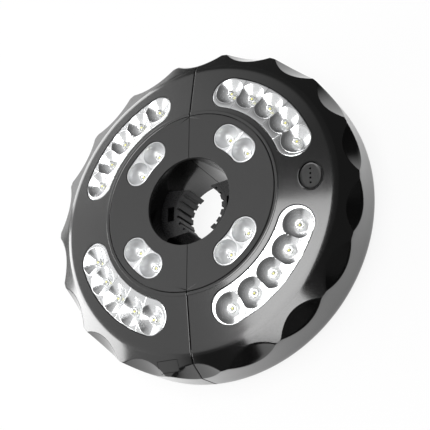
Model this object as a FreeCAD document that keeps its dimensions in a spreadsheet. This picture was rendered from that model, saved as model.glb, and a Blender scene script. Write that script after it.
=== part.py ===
import FreeCAD, Part
import math
import os
import Sketcher

# Cordless lamp that clamps round the pole of a patio umbrella. A ring-shaped body is split
# into two halves that hinge at the rim. Each half holds a sprung jaw, a light board with its
# reflectors, two battery cells and a fold-out hook.
# Z is the pole's axis, and the light faces +Z. The back plane is Z = 0. The split is the
# plane X = 0, with the hinge at +Y and the latch at -Y. Millimetres and degrees.

V = FreeCAD.Vector
doc = FreeCAD.newDocument("patio_umbrella_light")
sheet = doc.addObject("Spreadsheet::Sheet", "sizes")


class Dim:
    """A size together with the sheet expression that gives it."""

    def __init__(self, text, value):
        self.text, self.value = text, value

    def __float__(self):
        return float(self.value)

    def __add__(self, other):
        other = dim(other)
        return Dim("(%s + %s)" % (self.text, other.text), self.value + other.value)

    __radd__ = __add__

    def __sub__(self, other):
        other = dim(other)
        return Dim("(%s - %s)" % (self.text, other.text), self.value - other.value)

    def __rsub__(self, other):
        return dim(other) - self

    def __mul__(self, other):
        other = dim(other)
        return Dim("(%s * %s)" % (self.text, other.text), self.value * other.value)

    __rmul__ = __mul__

    def __truediv__(self, other):
        other = dim(other)
        return Dim("(%s / %s)" % (self.text, other.text), self.value / other.value)

    def __neg__(self):
        return Dim("(0 - %s)" % self.text, -self.value)


def dim(value):
    return value if isinstance(value, Dim) else Dim("(%.6f)" % value, float(value))


def cosd(angle):
    return Dim("cos(%s)" % dim(angle).text, math.cos(math.radians(float(angle))))


def sind(angle):
    return Dim("sin(%s)" % dim(angle).text, math.sin(math.radians(float(angle))))


def tand(angle):
    return Dim("tan(%s)" % dim(angle).text, math.tan(math.radians(float(angle))))


class Sizes:
    """Driving sizes, in millimetres, degrees and counts. Each is one aliased cell of the sheet."""

    # body: rim, face and shoulder
    body_radius = 110
    body_height = 46
    base_round = 8.5
    seam_gap = 0.4
    face_radius = 97
    face_edge_height = 39.6
    face_round = 14
    disc_radius = 60
    disc_groove = 0.35
    plate_thick = 1.6
    annulus_drop = 0.3
    shoulder_height = 33
    flute_count = 18
    flute_radius = 50
    flute_slope = 57.5
    flute_floor = 25.5
    pole_hole_front = 29.5
    pole_hole_back = 28.2
    hole_wall = 2.3
    wall = 2.3
    end_wall = 2
    fit_gap = 0.3
    face_gap = 0.05
    seam_vee = 0.5
    # back covers and their screws
    cover_thick = 2.4
    cover_radius = 99.3
    screw_ring = 94
    inner_screw_ring = 36
    boss_radius = 3.1
    screw_radius = 1.4
    screw_head_radius = 2.9
    screw_head_height = 1.5
    screw_length = 11
    outer_screw_angle = 22
    far_screw_angle = 62
    inner_screw_angle = 72
    # light board and light units
    board_top = 38
    board_thick = 1.6
    board_outer = 86
    board_inner = 41
    board_screw_ring = 60
    board_screw_angle = 14
    board_far_angle = 76
    group_angle = 45
    outer_ring = 77.3
    outer_half_width = 11.7
    outer_half_angle = 24.2
    outer_lights = 5
    cup_radius = 9.5
    cup_ring = 78.6
    cup_depth = 4.05
    cup_foot = 2.7
    inner_ring = 47.4
    inner_half_width = 9
    inner_half_angle = 10.3
    inner_lights = 2
    bowl_radius = 7.9
    reflector_gap = 0.2
    reflector_recess = 0.3
    dome_radius = 2.4
    dome_body = 1.3
    dome_flange = 2.6
    dome_flange_height = 0.6
    chip_size = 1.4
    chip_height = 0.4
    # jaws
    grip_radius = 16
    rib_count = 7
    rib_pitch = 18.2
    rib_width = 3.8
    rib_depth = 1.6
    rib_round = 0.6
    pad_back = 18.7
    jaw_low = 11
    jaw_high = 30.5
    jaw_nose = 7.5
    jaw_nose_half = 14.8
    jaw_flare_at = 30
    jaw_half = 17.4
    jaw_tail = 40
    jaw_flange_at = 33.6
    jaw_flange = 2.4
    jaw_flange_half = 22
    jaw_slot_at = 19.6
    jaw_slot_length = 4.6
    jaw_slot_half = 5
    jaw_slot_deep = 9
    jaw_spring_radius = 3.6
    jaw_spring_wire = 0.8
    jaw_spring_turns = 7
    jaw_spring_spread = 9
    jaw_travel = 7.5
    cradle_wall = 2
    cradle_back = 50
    cradle_high = 25
    window_gap = 0.5
    # battery compartment
    cell_radius = 7.1
    cell_length = 49
    cell_nub = 2.7
    cell_nub_length = 1
    cell_pitch = 15.2
    cell_near = 64.6
    cell_height = 10.2
    tub_wall = 1.6
    door_thick = 1.9
    contact_thick = 0.4
    contact_width = 10
    contact_bump = 1.2
    cell_end_room = 1.8
    door_ledge = 1.5
    # fold-out hook
    hook_x = 47
    hook_pivot_y = 70
    hook_pivot_height = 2.5
    hook_thick = 3
    hook_outer = 8.5
    hook_wire = 3.6
    hook_reach = 19
    hook_barrel = 2.2
    hook_pin_radius = 1
    hook_barrel_half = 6
    hook_room = 1.2
    hook_depth = 5.2
    # hinge
    hinge_y = 109
    knuckle_radius = 3.4
    hinge_pin_radius = 1.5
    pin_gap = 0.05
    knuckle_gap = 0.35
    knuckle_low = 2
    knuckle_length = 5
    hinge_leaf = 6.5
    hinge_relief = 1.4
    # latch
    latch_x = 18
    latch_half = 7.4
    latch_top_y = 99.5
    latch_low_y = 106
    latch_gap = 0.25
    latch_root = 24
    latch_travel = 2
    tongue_low = 17
    tongue_thick = 2.4
    tongue_near = 98.5
    tongue_far = 105
    tongue_reach = 13
    tongue_tail = 19
    latch_foot_low = 12.5
    latch_foot_thick = 2.2
    latch_spring_radius = 2.6
    latch_spring_wire = 0.6
    latch_spring_turns = 4
    latch_seat = 5.4
    # power button
    button_x = 82.3
    button_y = 1.5
    button_half_width = 6.8
    button_half_length = 8.5
    button_gap = 0.35
    button_thick = 2.4
    button_flange = 1.1
    button_lip = 1.4
    button_rim_width = 0.8
    button_rim_height = 0.35
    button_travel = 1
    dot_radius = 0.65
    dot_pitch = 3.05
    dot_count = 4
    switch_board_top = 33.6
    switch_board_thick = 1.2
    switch_board_half = 8
    switch_size = 6
    switch_height = 3.2
    plunger_radius = 1.6
    # wires
    lead_radius = 1.1
    lead_bend = 3
    lead_height = 30
    lead_seam_y = 95
    lead_board_x = 18
    lead_board_y = 80


S = Sizes
for row, (alias, value) in enumerate([i for i in vars(Sizes).items() if i[0][0] != "_"], 1):
    sheet.set("A%d" % row, alias)
    sheet.set("B%d" % row, "%g" % value)
    sheet.setAlias("B%d" % row, alias)
    setattr(Sizes, alias, Dim("sizes." + alias, float(value)))
doc.recompute()


# ---------------------------------------------------------------- helpers
class Half:
    """One half's own frame: X points from the seam into that half, Z is shared."""

    def __init__(self, name, sign):
        self.name, self.sign = name, sign

    def place(self, thing, x, y, z, turn=None):
        own = FreeCAD.Rotation(V(0, 0, 1), 0 if self.sign > 0 else 180)
        base = V(self.sign * float(x), self.sign * float(y), float(z))
        thing.Placement = FreeCAD.Placement(base, own.multiply(turn or FreeCAD.Rotation()))
        for axis, value in (("x", self.sign * dim(x)), ("y", self.sign * dim(y)), ("z", dim(z))):
            thing.setExpression("Placement.Base." + axis, value.text)
        return thing

    def local(self, side):
        """The sign that a feature at +Y or -Y of the whole lamp has in this half's frame."""
        return side * self.sign


WHOLE = Half("whole", 1)
RIGHT = Half("right", 1)
LEFT = Half("left", -1)
HALVES = (LEFT, RIGHT)
NODES = {}


def bind(thing, **dims):
    for prop, value in dims.items():
        thing.setExpression(prop, dim(value).text)
    return thing


def node(name, thing):
    thing.Label = name
    NODES[name] = thing
    return thing


def cylinder(half, radius, height, x=0, y=0, z=0, turn=None):
    thing = bind(doc.addObject("Part::Cylinder", "round"), Radius=radius, Height=height)
    return half.place(thing, x, y, z, turn)


def cone(half, low, high, height, x=0, y=0, z=0, turn=None):
    thing = doc.addObject("Part::Cone", "taper")
    bind(thing, Radius1=low, Radius2=high, Height=height)
    return half.place(thing, x, y, z, turn)


def oval(half, half_x, half_y, height, x, y, z, turn):
    """An upright oval that is longer along Y, then turned."""
    rim = bind(doc.addObject("Part::Ellipse", "oval"), MajorRadius=half_y, MinorRadius=half_x)
    half.place(rim, x, y, z, turn.multiply(turned(V(0, 0, 1), 90)))
    solid = bind(doc.addObject("Part::Extrusion", "oval_solid"), LengthFwd=height)
    solid.Base, solid.DirMode, solid.Solid = rim, "Normal", True
    return solid


def sphere(half, radius, x, y, z):
    return half.place(bind(doc.addObject("Part::Sphere", "ball"), Radius=radius), x, y, z)


def block(half, dx, dy, dz, x, y, z, angle=0):
    """A box centred on (x, y), standing on z and turned about Z by the angle."""
    thing = bind(doc.addObject("Part::Box", "block"), Length=dx, Width=dy, Height=dz)
    corner_x = x - cosd(angle) * dx / 2 + sind(angle) * dy / 2
    corner_y = y - sind(angle) * dx / 2 - cosd(angle) * dy / 2
    return half.place(thing, corner_x, corner_y, z, FreeCAD.Rotation(V(0, 0, 1), float(angle)))


def span(half, x0, x1, y0, y1, z0, z1):
    """A box between two opposite corners."""
    return block(half, x1 - x0, y1 - y0, z1 - z0, (x0 + x1) / 2, (y0 + y1) / 2, dim(z0))


def fuse(*things):
    joined = doc.addObject("Part::MultiFuse", "joined")
    joined.Shapes = list(things)
    return joined


def cut(base, *tools):
    result = doc.addObject("Part::Cut", "cut")
    result.Base = base
    result.Tool = tools[0] if len(tools) == 1 else fuse(*tools)
    return result


def common(first, second):
    result = doc.addObject("Part::Common", "overlap")
    result.Base, result.Tool = first, second
    return result


def turned(axis, angle):
    return FreeCAD.Rotation(axis, float(angle))


def along_x(x_sign=1):
    return FreeCAD.Rotation(V(0, 1, 0), 90 * x_sign)


def along_y(y_sign=1):
    return FreeCAD.Rotation(V(1, 0, 0), -90 * y_sign)


def origin_part(body, role):
    return [part for part in body.Origin.OriginFeatures if part.Role == role][0]


def outline(body, plane, corners):
    """A closed sketch of straight sides whose corners are bound to the sheet."""
    sketch = body.newObject("Sketcher::SketchObject", "outline")
    sketch.AttachmentSupport = (origin_part(body, plane), [""])
    sketch.MapMode = "FlatFace"
    points = [V(float(u), float(v), 0) for u, v in corners]
    count = len(points)
    for i in range(count):
        sketch.addGeometry(Part.LineSegment(points[i], points[(i + 1) % count]))
    for i in range(count):
        sketch.addConstraint(Sketcher.Constraint("Coincident", i, 2, (i + 1) % count, 1))
    for i, corner in enumerate(corners):
        for kind, value in zip(("DistanceX", "DistanceY"), corner):
            made = sketch.addConstraint(Sketcher.Constraint(kind, -1, 1, i, 1, float(value)))
            sketch.setExpression("Constraints[%d]" % made, dim(value).text)
    return sketch


def lathe(name, corners):
    """A ring turned about Z from (radius, height) corners."""
    body = doc.addObject("PartDesign::Body", name)
    ring = body.newObject("PartDesign::Revolution", name + "_turned")
    ring.Profile = outline(body, "YZ_Plane", corners)
    ring.ReferenceAxis = (origin_part(body, "Z_Axis"), [""])
    ring.Angle = 360
    doc.recompute()
    return body


def prism(half, name, corners, height, z):
    """A straight-sided plate from (x, y) corners, in the half's frame."""
    body = doc.addObject("PartDesign::Body", name)
    pad = body.newObject("PartDesign::Pad", name + "_pad")
    pad.Profile = outline(body, "XY_Plane", corners)
    bind(pad, Length=height)
    return half.place(body, 0, 0, z)


def arc_slot(half, ring, half_width, half_angle, middle, low, height):
    """A round-ended slot that follows a circle about Z."""
    start = turned(V(0, 0, 1), middle - half_angle)
    sector = cylinder(half, ring + half_width, height, 0, 0, low, start)
    bind(sector, Angle=2 * half_angle)
    parts = [cut(sector, cylinder(half, ring - half_width, height, 0, 0, low))]
    for side in (-1, 1):
        angle = middle + side * half_angle
        parts.append(cylinder(half, half_width, height, ring * cosd(angle), ring * sind(angle), low))
    return fuse(*parts)


def ring_places(ring, middle, half_angle, count):
    """Evenly spaced (radius, angle) places on an arc about its middle."""
    steps = int(float(count)) - 1
    return [(ring, middle + half_angle * (2.0 * i / steps - 1)) for i in range(steps + 1)]


def group(half, name, unit, spots):
    """Separate copies of one unit, each moved from the origin to (x, y, z)."""
    own = FreeCAD.Rotation(V(0, 0, 1), 0 if half.sign > 0 else 180)
    copies = []
    for x, y, z in spots:
        copy = unit.Shape.copy()
        base = V(half.sign * float(x), half.sign * float(y), float(z))
        copy.Placement = FreeCAD.Placement(base, own).multiply(copy.Placement)
        copies.append(copy)
    thing = doc.addObject("Part::Feature", name)
    thing.Shape = Part.makeCompound(copies)
    return node(name, thing)


def shape_node(name, shape, placement=None):
    thing = doc.addObject("Part::Feature", name)
    thing.Shape = shape
    if placement:
        thing.Placement = placement
    return thing


def tangent_arc(start, direction, end):
    """The arc that leaves start along the direction and reaches end."""
    chord = end - start
    unit = V(chord).normalize()
    side = direction - unit * direction.dot(unit)
    half_turn = math.atan2(side.Length, direction.dot(unit))
    side.normalize()
    middle = (start + end) * 0.5 + side * (chord.Length / 2 * math.tan(half_turn / 2))
    return Part.Arc(start, middle, end).toShape()


def coil(radius, wire, length, turns):
    """A wire coil that climbs Z from 0 to length: two tangent arcs to each quarter turn."""
    radius, wire, length, turns = float(radius), float(wire), float(length), float(turns)
    quarters = int(turns * 4)
    climb = (length - wire) / (2 * math.pi * turns)

    def at(i):
        angle = math.pi / 2 * i
        place = V(radius * math.cos(angle), radius * math.sin(angle), wire / 2 + climb * angle)
        return place, V(-radius * math.sin(angle), radius * math.cos(angle), climb).normalize()

    edges = []
    for i in range(quarters):
        (p, t), (q, w) = at(i), at(i + 1)
        gap, both = q - p, t + w
        k = 2 * (1 - t.dot(w))
        reach = (-gap.dot(both) + math.sqrt(gap.dot(both) ** 2 + k * gap.dot(gap))) / k
        joint = (p + t * reach + q - w * reach) * 0.5
        edges += [tangent_arc(p, t, joint), tangent_arc(q, w * -1, joint)]
    path = Part.Wire(Part.__sortEdges__(edges))
    start, direction = at(0)
    section = Part.Wire([Part.Circle(start, direction, wire / 2).toShape()])
    print("coil of wire %.1f: least gap between turns %.2f mm" % (wire, (length - wire) / turns - wire))
    return path.makePipeShell([section], True, False)


def lead(points, radius, bend):
    """A round wire along straight runs joined by tangent arcs of one radius."""
    edges, start = [], points[0]
    for before, corner, after in zip(points, points[1:], points[2:]):
        arrive = (corner - before).normalize()
        leave = (after - corner).normalize()
        half_turn = arrive.getAngle(leave) / 2
        reach = bend * math.tan(half_turn)
        enter, exit = corner - arrive * reach, corner + leave * reach
        edges += [Part.LineSegment(start, enter).toShape(), tangent_arc(enter, arrive, exit)]
        start = exit
    edges.append(Part.LineSegment(start, points[-1]).toShape())
    path = Part.Wire(edges)
    section = Part.Wire([Part.Circle(points[0], points[1] - points[0], radius).toShape()])
    return path.makePipeShell([section], True, False)


def bar_between(half, low, high, size):
    """A square bar set on its edge between two points (y, z) of the plane X = 0."""
    (y0, z0), (y1, z1) = low, high
    start, end = V(0, float(y0), float(z0)), V(0, float(y1), float(z1))
    half_side = float(size)
    square = [V(half_side, 0, 0), V(0, half_side, 0), V(-half_side, 0, 0), V(0, -half_side, 0)]
    bar = Part.Face(Part.makePolygon(square + square[:1])).extrude(V(0, 0, (end - start).Length))
    bar.Placement = FreeCAD.Placement(start, FreeCAD.Rotation(V(0, 0, 1), end - start))
    own = FreeCAD.Placement(V(), FreeCAD.Rotation(V(0, 0, 1), 0 if half.sign > 0 else 180))
    return shape_node("seam_bar", bar, own.multiply(bar.Placement))


# ---------------------------------------------------------------- shared planes and places
SEAM = S.seam_gap / 2
INSIDE = SEAM + S.end_wall
PLATE_SEAT = S.body_height - S.plate_thick
RING_EDGE = S.disc_radius + S.disc_groove
RING_TOP = S.body_height - S.annulus_drop
ANNULUS_SLOPE = math.degrees(
    math.atan2(float(RING_TOP - S.face_edge_height), float(S.face_radius - RING_EDGE))
)
HOLE_OUTER = S.pole_hole_front + S.hole_wall
CEILING = PLATE_SEAT - S.wall
CAVITY_RADIUS = S.body_radius - S.wall
FLUTE_RUN = (S.shoulder_height + (S.body_radius - S.face_radius) - S.flute_floor) / tand(S.flute_slope)
SCREW_SEAT = S.screw_head_height + 0.1
FAR = 130
TALL = 60


def annulus_height(radius):
    """Height of the sloping outer face at a radius."""
    slope = (RING_TOP - S.face_edge_height) / (S.face_radius - RING_EDGE)
    return RING_TOP - (radius - RING_EDGE) * slope


def half_space(half, inset, low=-5.0, high=TALL):
    """Everything on the half's side of the seam, at least the inset away from it."""
    return span(half, dim(inset), dim(FAR), dim(-FAR), dim(FAR), dim(low), dim(high))


def light_places():
    """(ring, angle) of every light unit of one half."""
    spots = []
    for side in (-1, 1):
        lean = S.cup_depth * sind(ANNULUS_SLOPE)
        middle = S.group_angle * side
        spots += ring_places(S.cup_ring - lean, middle, S.outer_half_angle, S.outer_lights)
        spots += ring_places(S.inner_ring, middle, S.inner_half_angle, S.inner_lights)
    return spots


def polar(ring, angle):
    return ring * cosd(angle), ring * sind(angle)


COVER_SCREWS = [(S.screw_ring, side * angle) for side in (-1, 1)
                for angle in (S.outer_screw_angle, S.far_screw_angle)]
COVER_SCREWS += [(S.inner_screw_ring, side * S.inner_screw_angle) for side in (-1, 1)]
BOARD_SCREWS = [(S.board_screw_ring, side * angle) for side in (-1, 1)
                for angle in (S.board_screw_angle, S.board_far_angle)]


# ---------------------------------------------------------------- outer form
def make_outer_form():
    """The lamp's outside as one ring: rounded base, rim, fluted shoulder and sloping face."""
    core = S.pole_hole_back - 8
    body = lathe("outer_form", [
        (core, dim(1e-6) - 1e-6 + 0.0001),
        (S.body_radius, dim(0.0001)),
        (S.body_radius, S.shoulder_height),
        (S.face_radius, S.face_edge_height),
        (RING_EDGE, RING_TOP),
        (RING_EDGE, PLATE_SEAT),
        (core, PLATE_SEAT),
    ])
    turned_ring = body.Tip

    def rim_edges(radius, height):
        found = []
        for i, edge in enumerate(turned_ring.Shape.Edges):
            ends = edge.Vertexes[0].Point
            if abs(math.hypot(ends.x, ends.y) - float(radius)) < 0.01:
                if abs(ends.z - float(height)) < 0.01 and hasattr(edge.Curve, "Radius"):
                    found.append("Edge%d" % (i + 1))
        return found

    base = body.newObject("PartDesign::Fillet", "base_rounding")
    base.Base = (turned_ring, rim_edges(S.body_radius, 0))
    bind(base, Radius=S.base_round)
    doc.recompute()
    turned_ring = base
    face = body.newObject("PartDesign::Fillet", "face_rounding")
    face.Base = (base, rim_edges(S.face_radius, S.face_edge_height))
    bind(face, Radius=S.face_round)
    scoop = body.newObject("PartDesign::SubtractiveCylinder", "flute")
    length = 90
    bind(scoop, Radius=S.flute_radius, Height=length)
    middle = 180.0 / float(S.flute_count)
    tilt = FreeCAD.Rotation(V(0, 1, 0), 90 + float(S.flute_slope))
    axis_r = S.body_radius + S.flute_radius * sind(S.flute_slope) - cosd(S.flute_slope) * length / 2
    axis_z = S.flute_floor + S.flute_radius * cosd(S.flute_slope) + sind(S.flute_slope) * length / 2
    WHOLE.place(scoop, axis_r * cosd(middle), axis_r * sind(middle), axis_z,
                FreeCAD.Rotation(V(0, 0, 1), middle).multiply(tilt))
    doc.recompute()
    ring = body.newObject("PartDesign::PolarPattern", "flutes")
    ring.Originals = [scoop]
    ring.Axis = (origin_part(body, "Z_Axis"), [""])
    ring.Angle = 360
    bind(ring, Occurrences=S.flute_count)
    body.Tip = ring
    doc.recompute()
    return body


def make_cavity_form():
    """The hollow inside both halves, as a full ring that is open at the back."""
    fall = (S.body_radius - S.face_radius) * 0.5
    opening = S.cover_radius + S.fit_gap
    corner = S.body_radius - S.base_round
    slant = S.wall * tand(90 - S.flute_slope)
    return lathe("cavity_form", [
        (HOLE_OUTER, dim(-2.0)),
        (opening, dim(-2.0)),
        (opening, S.cover_thick),
        (corner, S.cover_thick),
        (corner + (S.base_round - S.wall) * sind(45), S.base_round - (S.base_round - S.wall) * cosd(45)),
        (CAVITY_RADIUS, S.base_round),
        (CAVITY_RADIUS, S.flute_floor - slant),
        (S.face_radius + fall - S.wall * 1.2, S.face_edge_height - S.wall * 2),
        (S.face_radius - 1, S.face_edge_height - S.wall * 1.05),
        (S.disc_radius + 6, CEILING),
        (HOLE_OUTER, CEILING),
    ])


OUTER = make_outer_form()
CAVITY = make_cavity_form()


# ---------------------------------------------------------------- front shells
def pocket_slots(half, widen, low, high):
    slots = []
    for side in (-1, 1):
        middle = S.group_angle * side
        slots.append(arc_slot(half, S.outer_ring, S.outer_half_width - widen, S.outer_half_angle,
                              middle, dim(low), dim(high) - low))
        slots.append(arc_slot(half, S.inner_ring, S.inner_half_width - widen, S.inner_half_angle,
                              middle, dim(low), dim(high) - low))
    return slots


def jaw_window(half):
    """Opening in the pole hole's wall that the jaw comes through."""
    reach = S.jaw_half + S.window_gap
    low, high = S.jaw_low - S.window_gap, S.jaw_high + S.window_gap
    return span(half, S.jaw_nose_half, HOLE_OUTER + 2, -reach, reach, low, high)


def knuckles(half, own):
    """(z low, z high) of the hinge knuckles that this half owns."""
    step = S.knuckle_length + S.knuckle_gap
    return [(S.knuckle_low + step * i, S.knuckle_low + step * i + S.knuckle_length) for i in own]


def make_front_shell(half, is_left):
    top = half.local(1)
    hinge_y = top * S.hinge_y
    hole = cone(half, S.pole_hole_back, S.pole_hole_front, S.body_height)
    blank = cut(common(OUTER, half_space(half, SEAM)), hole)
    hollow = cut(blank, common(CAVITY, half_space(half, INSIDE)))
    # screw bosses run up into the ceiling: (x, y, low, high)
    posts = [(*polar(ring, angle), S.cover_thick + dim(0), annulus_height(ring) - 1.2)
             for ring, angle in COVER_SCREWS if ring is S.screw_ring]
    posts += [(*polar(ring, angle), S.cover_thick + dim(0), PLATE_SEAT - 1)
              for ring, angle in COVER_SCREWS if ring is S.inner_screw_ring]
    posts += [(*polar(ring, angle), S.board_top, PLATE_SEAT - 1) for ring, angle in BOARD_SCREWS]
    if is_left:
        posts.append((S.latch_x - 3, (S.latch_top_y + S.tongue_far) / 2, dim(2.0), S.latch_seat))
    else:
        tongue_high = S.tongue_low + S.tongue_thick
        posts += [(x, dim(-1) * tongue_middle(), tongue_high, S.shoulder_height - 0.5)
                  for x in tongue_screw_x()]
        posts += [(S.button_x, y, S.switch_board_top, annulus_height(S.button_x) - 1.4)
                  for y in switch_screw_y()]
    raised = [cylinder(half, S.boss_radius, high - low, x, y, low) for x, y, low, high in posts]
    if not is_left:
        reach = S.button_gap + S.button_rim_width
        raised.append(oval(half, S.button_half_width + reach, S.button_half_length + reach,
                           S.wall / 2 + S.button_rim_height,
                           S.button_x - S.wall / 2 * sind(ANNULUS_SLOPE), S.button_y,
                           annulus_height(S.button_x) - S.wall / 2 * cosd(ANNULUS_SLOPE),
                           turned(V(0, 1, 0), ANNULUS_SLOPE)))
    solid = fuse(hollow, *raised)
    cuts = pocket_slots(half, dim(0), S.board_top - 2, S.body_height + 2)
    cuts.append(jaw_window(half))
    depth = SCREW_SEAT + S.screw_length + 0.5
    cuts += [cylinder(half, S.screw_radius + S.face_gap, depth, *polar(ring, angle), dim(0))
             for ring, angle in COVER_SCREWS]
    cuts += [cylinder(half, S.screw_radius + S.face_gap, dim(3.6), *polar(ring, angle), S.board_top)
             for ring, angle in BOARD_SCREWS]
    # relief round the hinge, and the edge of the seam above it
    stack_top = S.knuckle_low + (S.knuckle_length + S.knuckle_gap) * 3
    cuts.append(cylinder(half, S.knuckle_radius + S.knuckle_gap, stack_top + 2, 0, hinge_y, dim(-1.0)))
    low, high = (hinge_y - 0.3, hinge_y + 8) if top > 0 else (hinge_y - 8, hinge_y + 0.3)
    cuts.append(span(half, dim(-1.0), S.hinge_relief, low, high, dim(0), S.flute_floor + 3))
    # passage of the wires between the halves
    cuts.append(cylinder(half, S.lead_radius + S.fit_gap, dim(8), dim(-2.0), top * S.lead_seam_y,
                         S.lead_height, along_x()))
    # passage of the latch's tongue
    gap = S.latch_gap + 0.35
    near, far = S.tongue_near - gap, S.tongue_far + gap
    low, high = (-far, -near) if top > 0 else (near, far)
    cuts.append(span(half, dim(-1.0), INSIDE + 1, low, high, S.tongue_low - 0.4,
                     S.tongue_low + S.tongue_thick + 0.4))
    if is_left:
        cuts.append(span(half, S.latch_x - S.latch_half - S.latch_gap,
                         S.latch_x + S.latch_half + S.latch_gap, S.latch_top_y - S.latch_gap,
                         S.latch_low_y + S.latch_gap, S.latch_root - 5, dim(TALL)))
    else:
        tilt = turned(V(0, 1, 0), ANNULUS_SLOPE)
        cuts.append(oval(half, S.button_half_width + S.button_gap,
                         S.button_half_length + S.button_gap, dim(20),
                         S.button_x - 10 * sind(ANNULUS_SLOPE), S.button_y,
                         annulus_height(S.button_x) - 10 * cosd(ANNULUS_SLOPE), tilt))
        cuts += [cylinder(half, S.screw_radius + S.face_gap, dim(4), S.button_x, y,
                          S.switch_board_top) for y in switch_screw_y()]
        cuts += [cylinder(half, S.screw_radius + S.face_gap, dim(6), x, dim(-1) * tongue_middle(),
                          S.tongue_low + S.tongue_thick) for x in tongue_screw_x()]
    # the seam's edges are eased along the face and the shoulder
    flute_top = S.flute_floor + (S.body_radius - S.face_radius - 6) * tand(S.flute_slope)
    ridge = [(RING_EDGE - 1, RING_TOP + tand(ANNULUS_SLOPE)), (S.face_radius, S.face_edge_height),
             (S.face_radius + 6, flute_top), (S.body_radius + 0.5, S.flute_floor - 0.6)]
    for side in (-1, 1):
        for first, last in zip(ridge, ridge[1:]):
            cuts.append(bar_between(half, (side * first[0], first[1]), (side * last[0], last[1]),
                                    S.seam_vee))
    body = cut(solid, *cuts)
    # hinge knuckles, each on a short leaf that joins the rim
    added = []
    for z_low, z_high in knuckles(half, (0, 2) if is_left else (1,)):
        height = z_high - z_low
        leaf_low, leaf_high = hinge_y - top * 3.4, hinge_y + top * 1.2
        leaf = span(half, dim(0), S.hinge_leaf, leaf_low if top > 0 else leaf_high,
                    leaf_high if top > 0 else leaf_low, z_low, z_high)
        barrel = cylinder(half, S.knuckle_radius, height, 0, hinge_y, z_low)
        added.append(fuse(barrel, leaf))
    gap = dim(0) if is_left else S.pin_gap
    bore = cylinder(half, S.hinge_pin_radius + gap, stack_top + 4, 0, hinge_y, dim(-2.0))
    return node(half.name + "_front_shell", cut(fuse(body, *added), bore))


def tongue_middle():
    return (S.tongue_near + S.tongue_far) / 2


def tongue_screw_x():
    return [S.tongue_tail - 11, S.tongue_tail - 3.5]


def switch_screw_y():
    return [S.button_y + side * (S.button_half_length + 5) for side in (-1, 1)]


def make_face_plate(half):
    """The matt inner disc, with the two inner light pockets."""
    disc = cylinder(half, S.disc_radius, S.plate_thick, 0, 0, PLATE_SEAT)
    hole = cone(half, S.pole_hole_back, S.pole_hole_front, S.body_height)
    slots = pocket_slots(half, dim(0), S.board_top, S.body_height + 2)[1::2]
    plate = common(cut(disc, hole, *slots), half_space(half, SEAM))
    return node(half.name + "_face_plate", plate)


# ---------------------------------------------------------------- lights
def make_reflectors(half):
    drop = S.reflector_recess
    skirt = cylinder(half, S.face_radius, S.face_edge_height - drop - 30, 0, 0, dim(30))
    slope = cone(half, S.face_radius, RING_EDGE, RING_TOP - S.face_edge_height, 0, 0,
                 S.face_edge_height - drop)
    under_face = fuse(skirt, slope)
    rim_radius = S.cup_radius
    for side, word in ((1, "upper"), (-1, "lower")):
        middle = S.group_angle * side
        word = word if half.sign > 0 else {"upper": "lower", "lower": "upper"}[word]
        blank = arc_slot(half, S.outer_ring, S.outer_half_width - S.reflector_gap,
                         S.outer_half_angle, middle, S.board_top, dim(10))
        cups = []
        for ring, angle in ring_places(S.cup_ring, middle, S.outer_half_angle, S.outer_lights):
            lean, dip = S.cup_depth * sind(ANNULUS_SLOPE), S.cup_depth * cosd(ANNULUS_SLOPE)
            foot_ring = ring - lean
            foot_height = annulus_height(S.cup_ring) - drop - dip
            turn = turned(V(0, 0, 1), angle).multiply(turned(V(0, 1, 0), ANNULUS_SLOPE))
            grow = (rim_radius - S.cup_foot) / S.cup_depth
            x, y = polar(foot_ring, angle)
            cups.append(cone(half, S.cup_foot, S.cup_foot + grow * 9, dim(9), x, y, foot_height, turn))
            cups.append(cylinder(half, S.cup_foot, dim(3), x, y, S.board_top - 1))
        name = "%s_%s_outer_reflector" % (half.name, word)
        node(name, cut(common(blank, under_face), *cups))

        top = S.body_height - drop
        blank = arc_slot(half, S.inner_ring, S.inner_half_width - S.reflector_gap,
                         S.inner_half_angle, middle, S.board_top, top - S.board_top)
        bowls = []
        for ring, angle in ring_places(S.inner_ring, middle, S.inner_half_angle, S.inner_lights):
            x, y = polar(ring, angle)
            bowls.append(sphere(half, S.bowl_radius, x, y, top))
            bowls.append(cylinder(half, S.cup_foot, dim(3), x, y, S.board_top - 1))
        name = "%s_%s_inner_reflector" % (half.name, word)
        node(name, cut(blank, *bowls))


def make_light_board(half, is_left):
    low = S.board_top - S.board_thick
    ring = cut(cylinder(half, S.board_outer, S.board_thick, 0, 0, low),
               cylinder(half, S.board_inner, S.board_thick, 0, 0, low))
    holes = [cylinder(half, S.screw_radius + S.fit_gap, S.board_thick, *polar(r, a), low)
             for r, a in BOARD_SCREWS]
    if not is_left:
        holes.append(cylinder(half, S.button_half_length + S.boss_radius * 2 + 4, S.board_thick,
                              S.button_x, S.button_y, low))
    board = common(cut(ring, *holes), half_space(half, INSIDE + 1))
    return node(half.name + "_light_board", board)


def light_unit():
    """A clear dome on a flange, hollow underneath for its chip."""
    flange = cylinder(WHOLE, S.dome_flange, S.dome_flange_height)
    column = cylinder(WHOLE, S.dome_radius, S.dome_body)
    dome = sphere(WHOLE, S.dome_radius, 0, 0, S.dome_body)
    below = cylinder(WHOLE, S.dome_flange + 1, dim(5), 0, 0, dim(-5.0))
    side = S.chip_size + 0.1
    pocket = block(WHOLE, side, side, S.chip_height + 0.05, dim(0), dim(0), dim(0))
    return cut(fuse(flange, column, dome), below, pocket)


def make_lights(half, dome, chip):
    spots = [(*polar(ring, angle), S.board_top) for ring, angle in light_places()]
    group(half, half.name + "_light_domes", dome, spots)
    group(half, half.name + "_light_chips", chip, spots)


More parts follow.
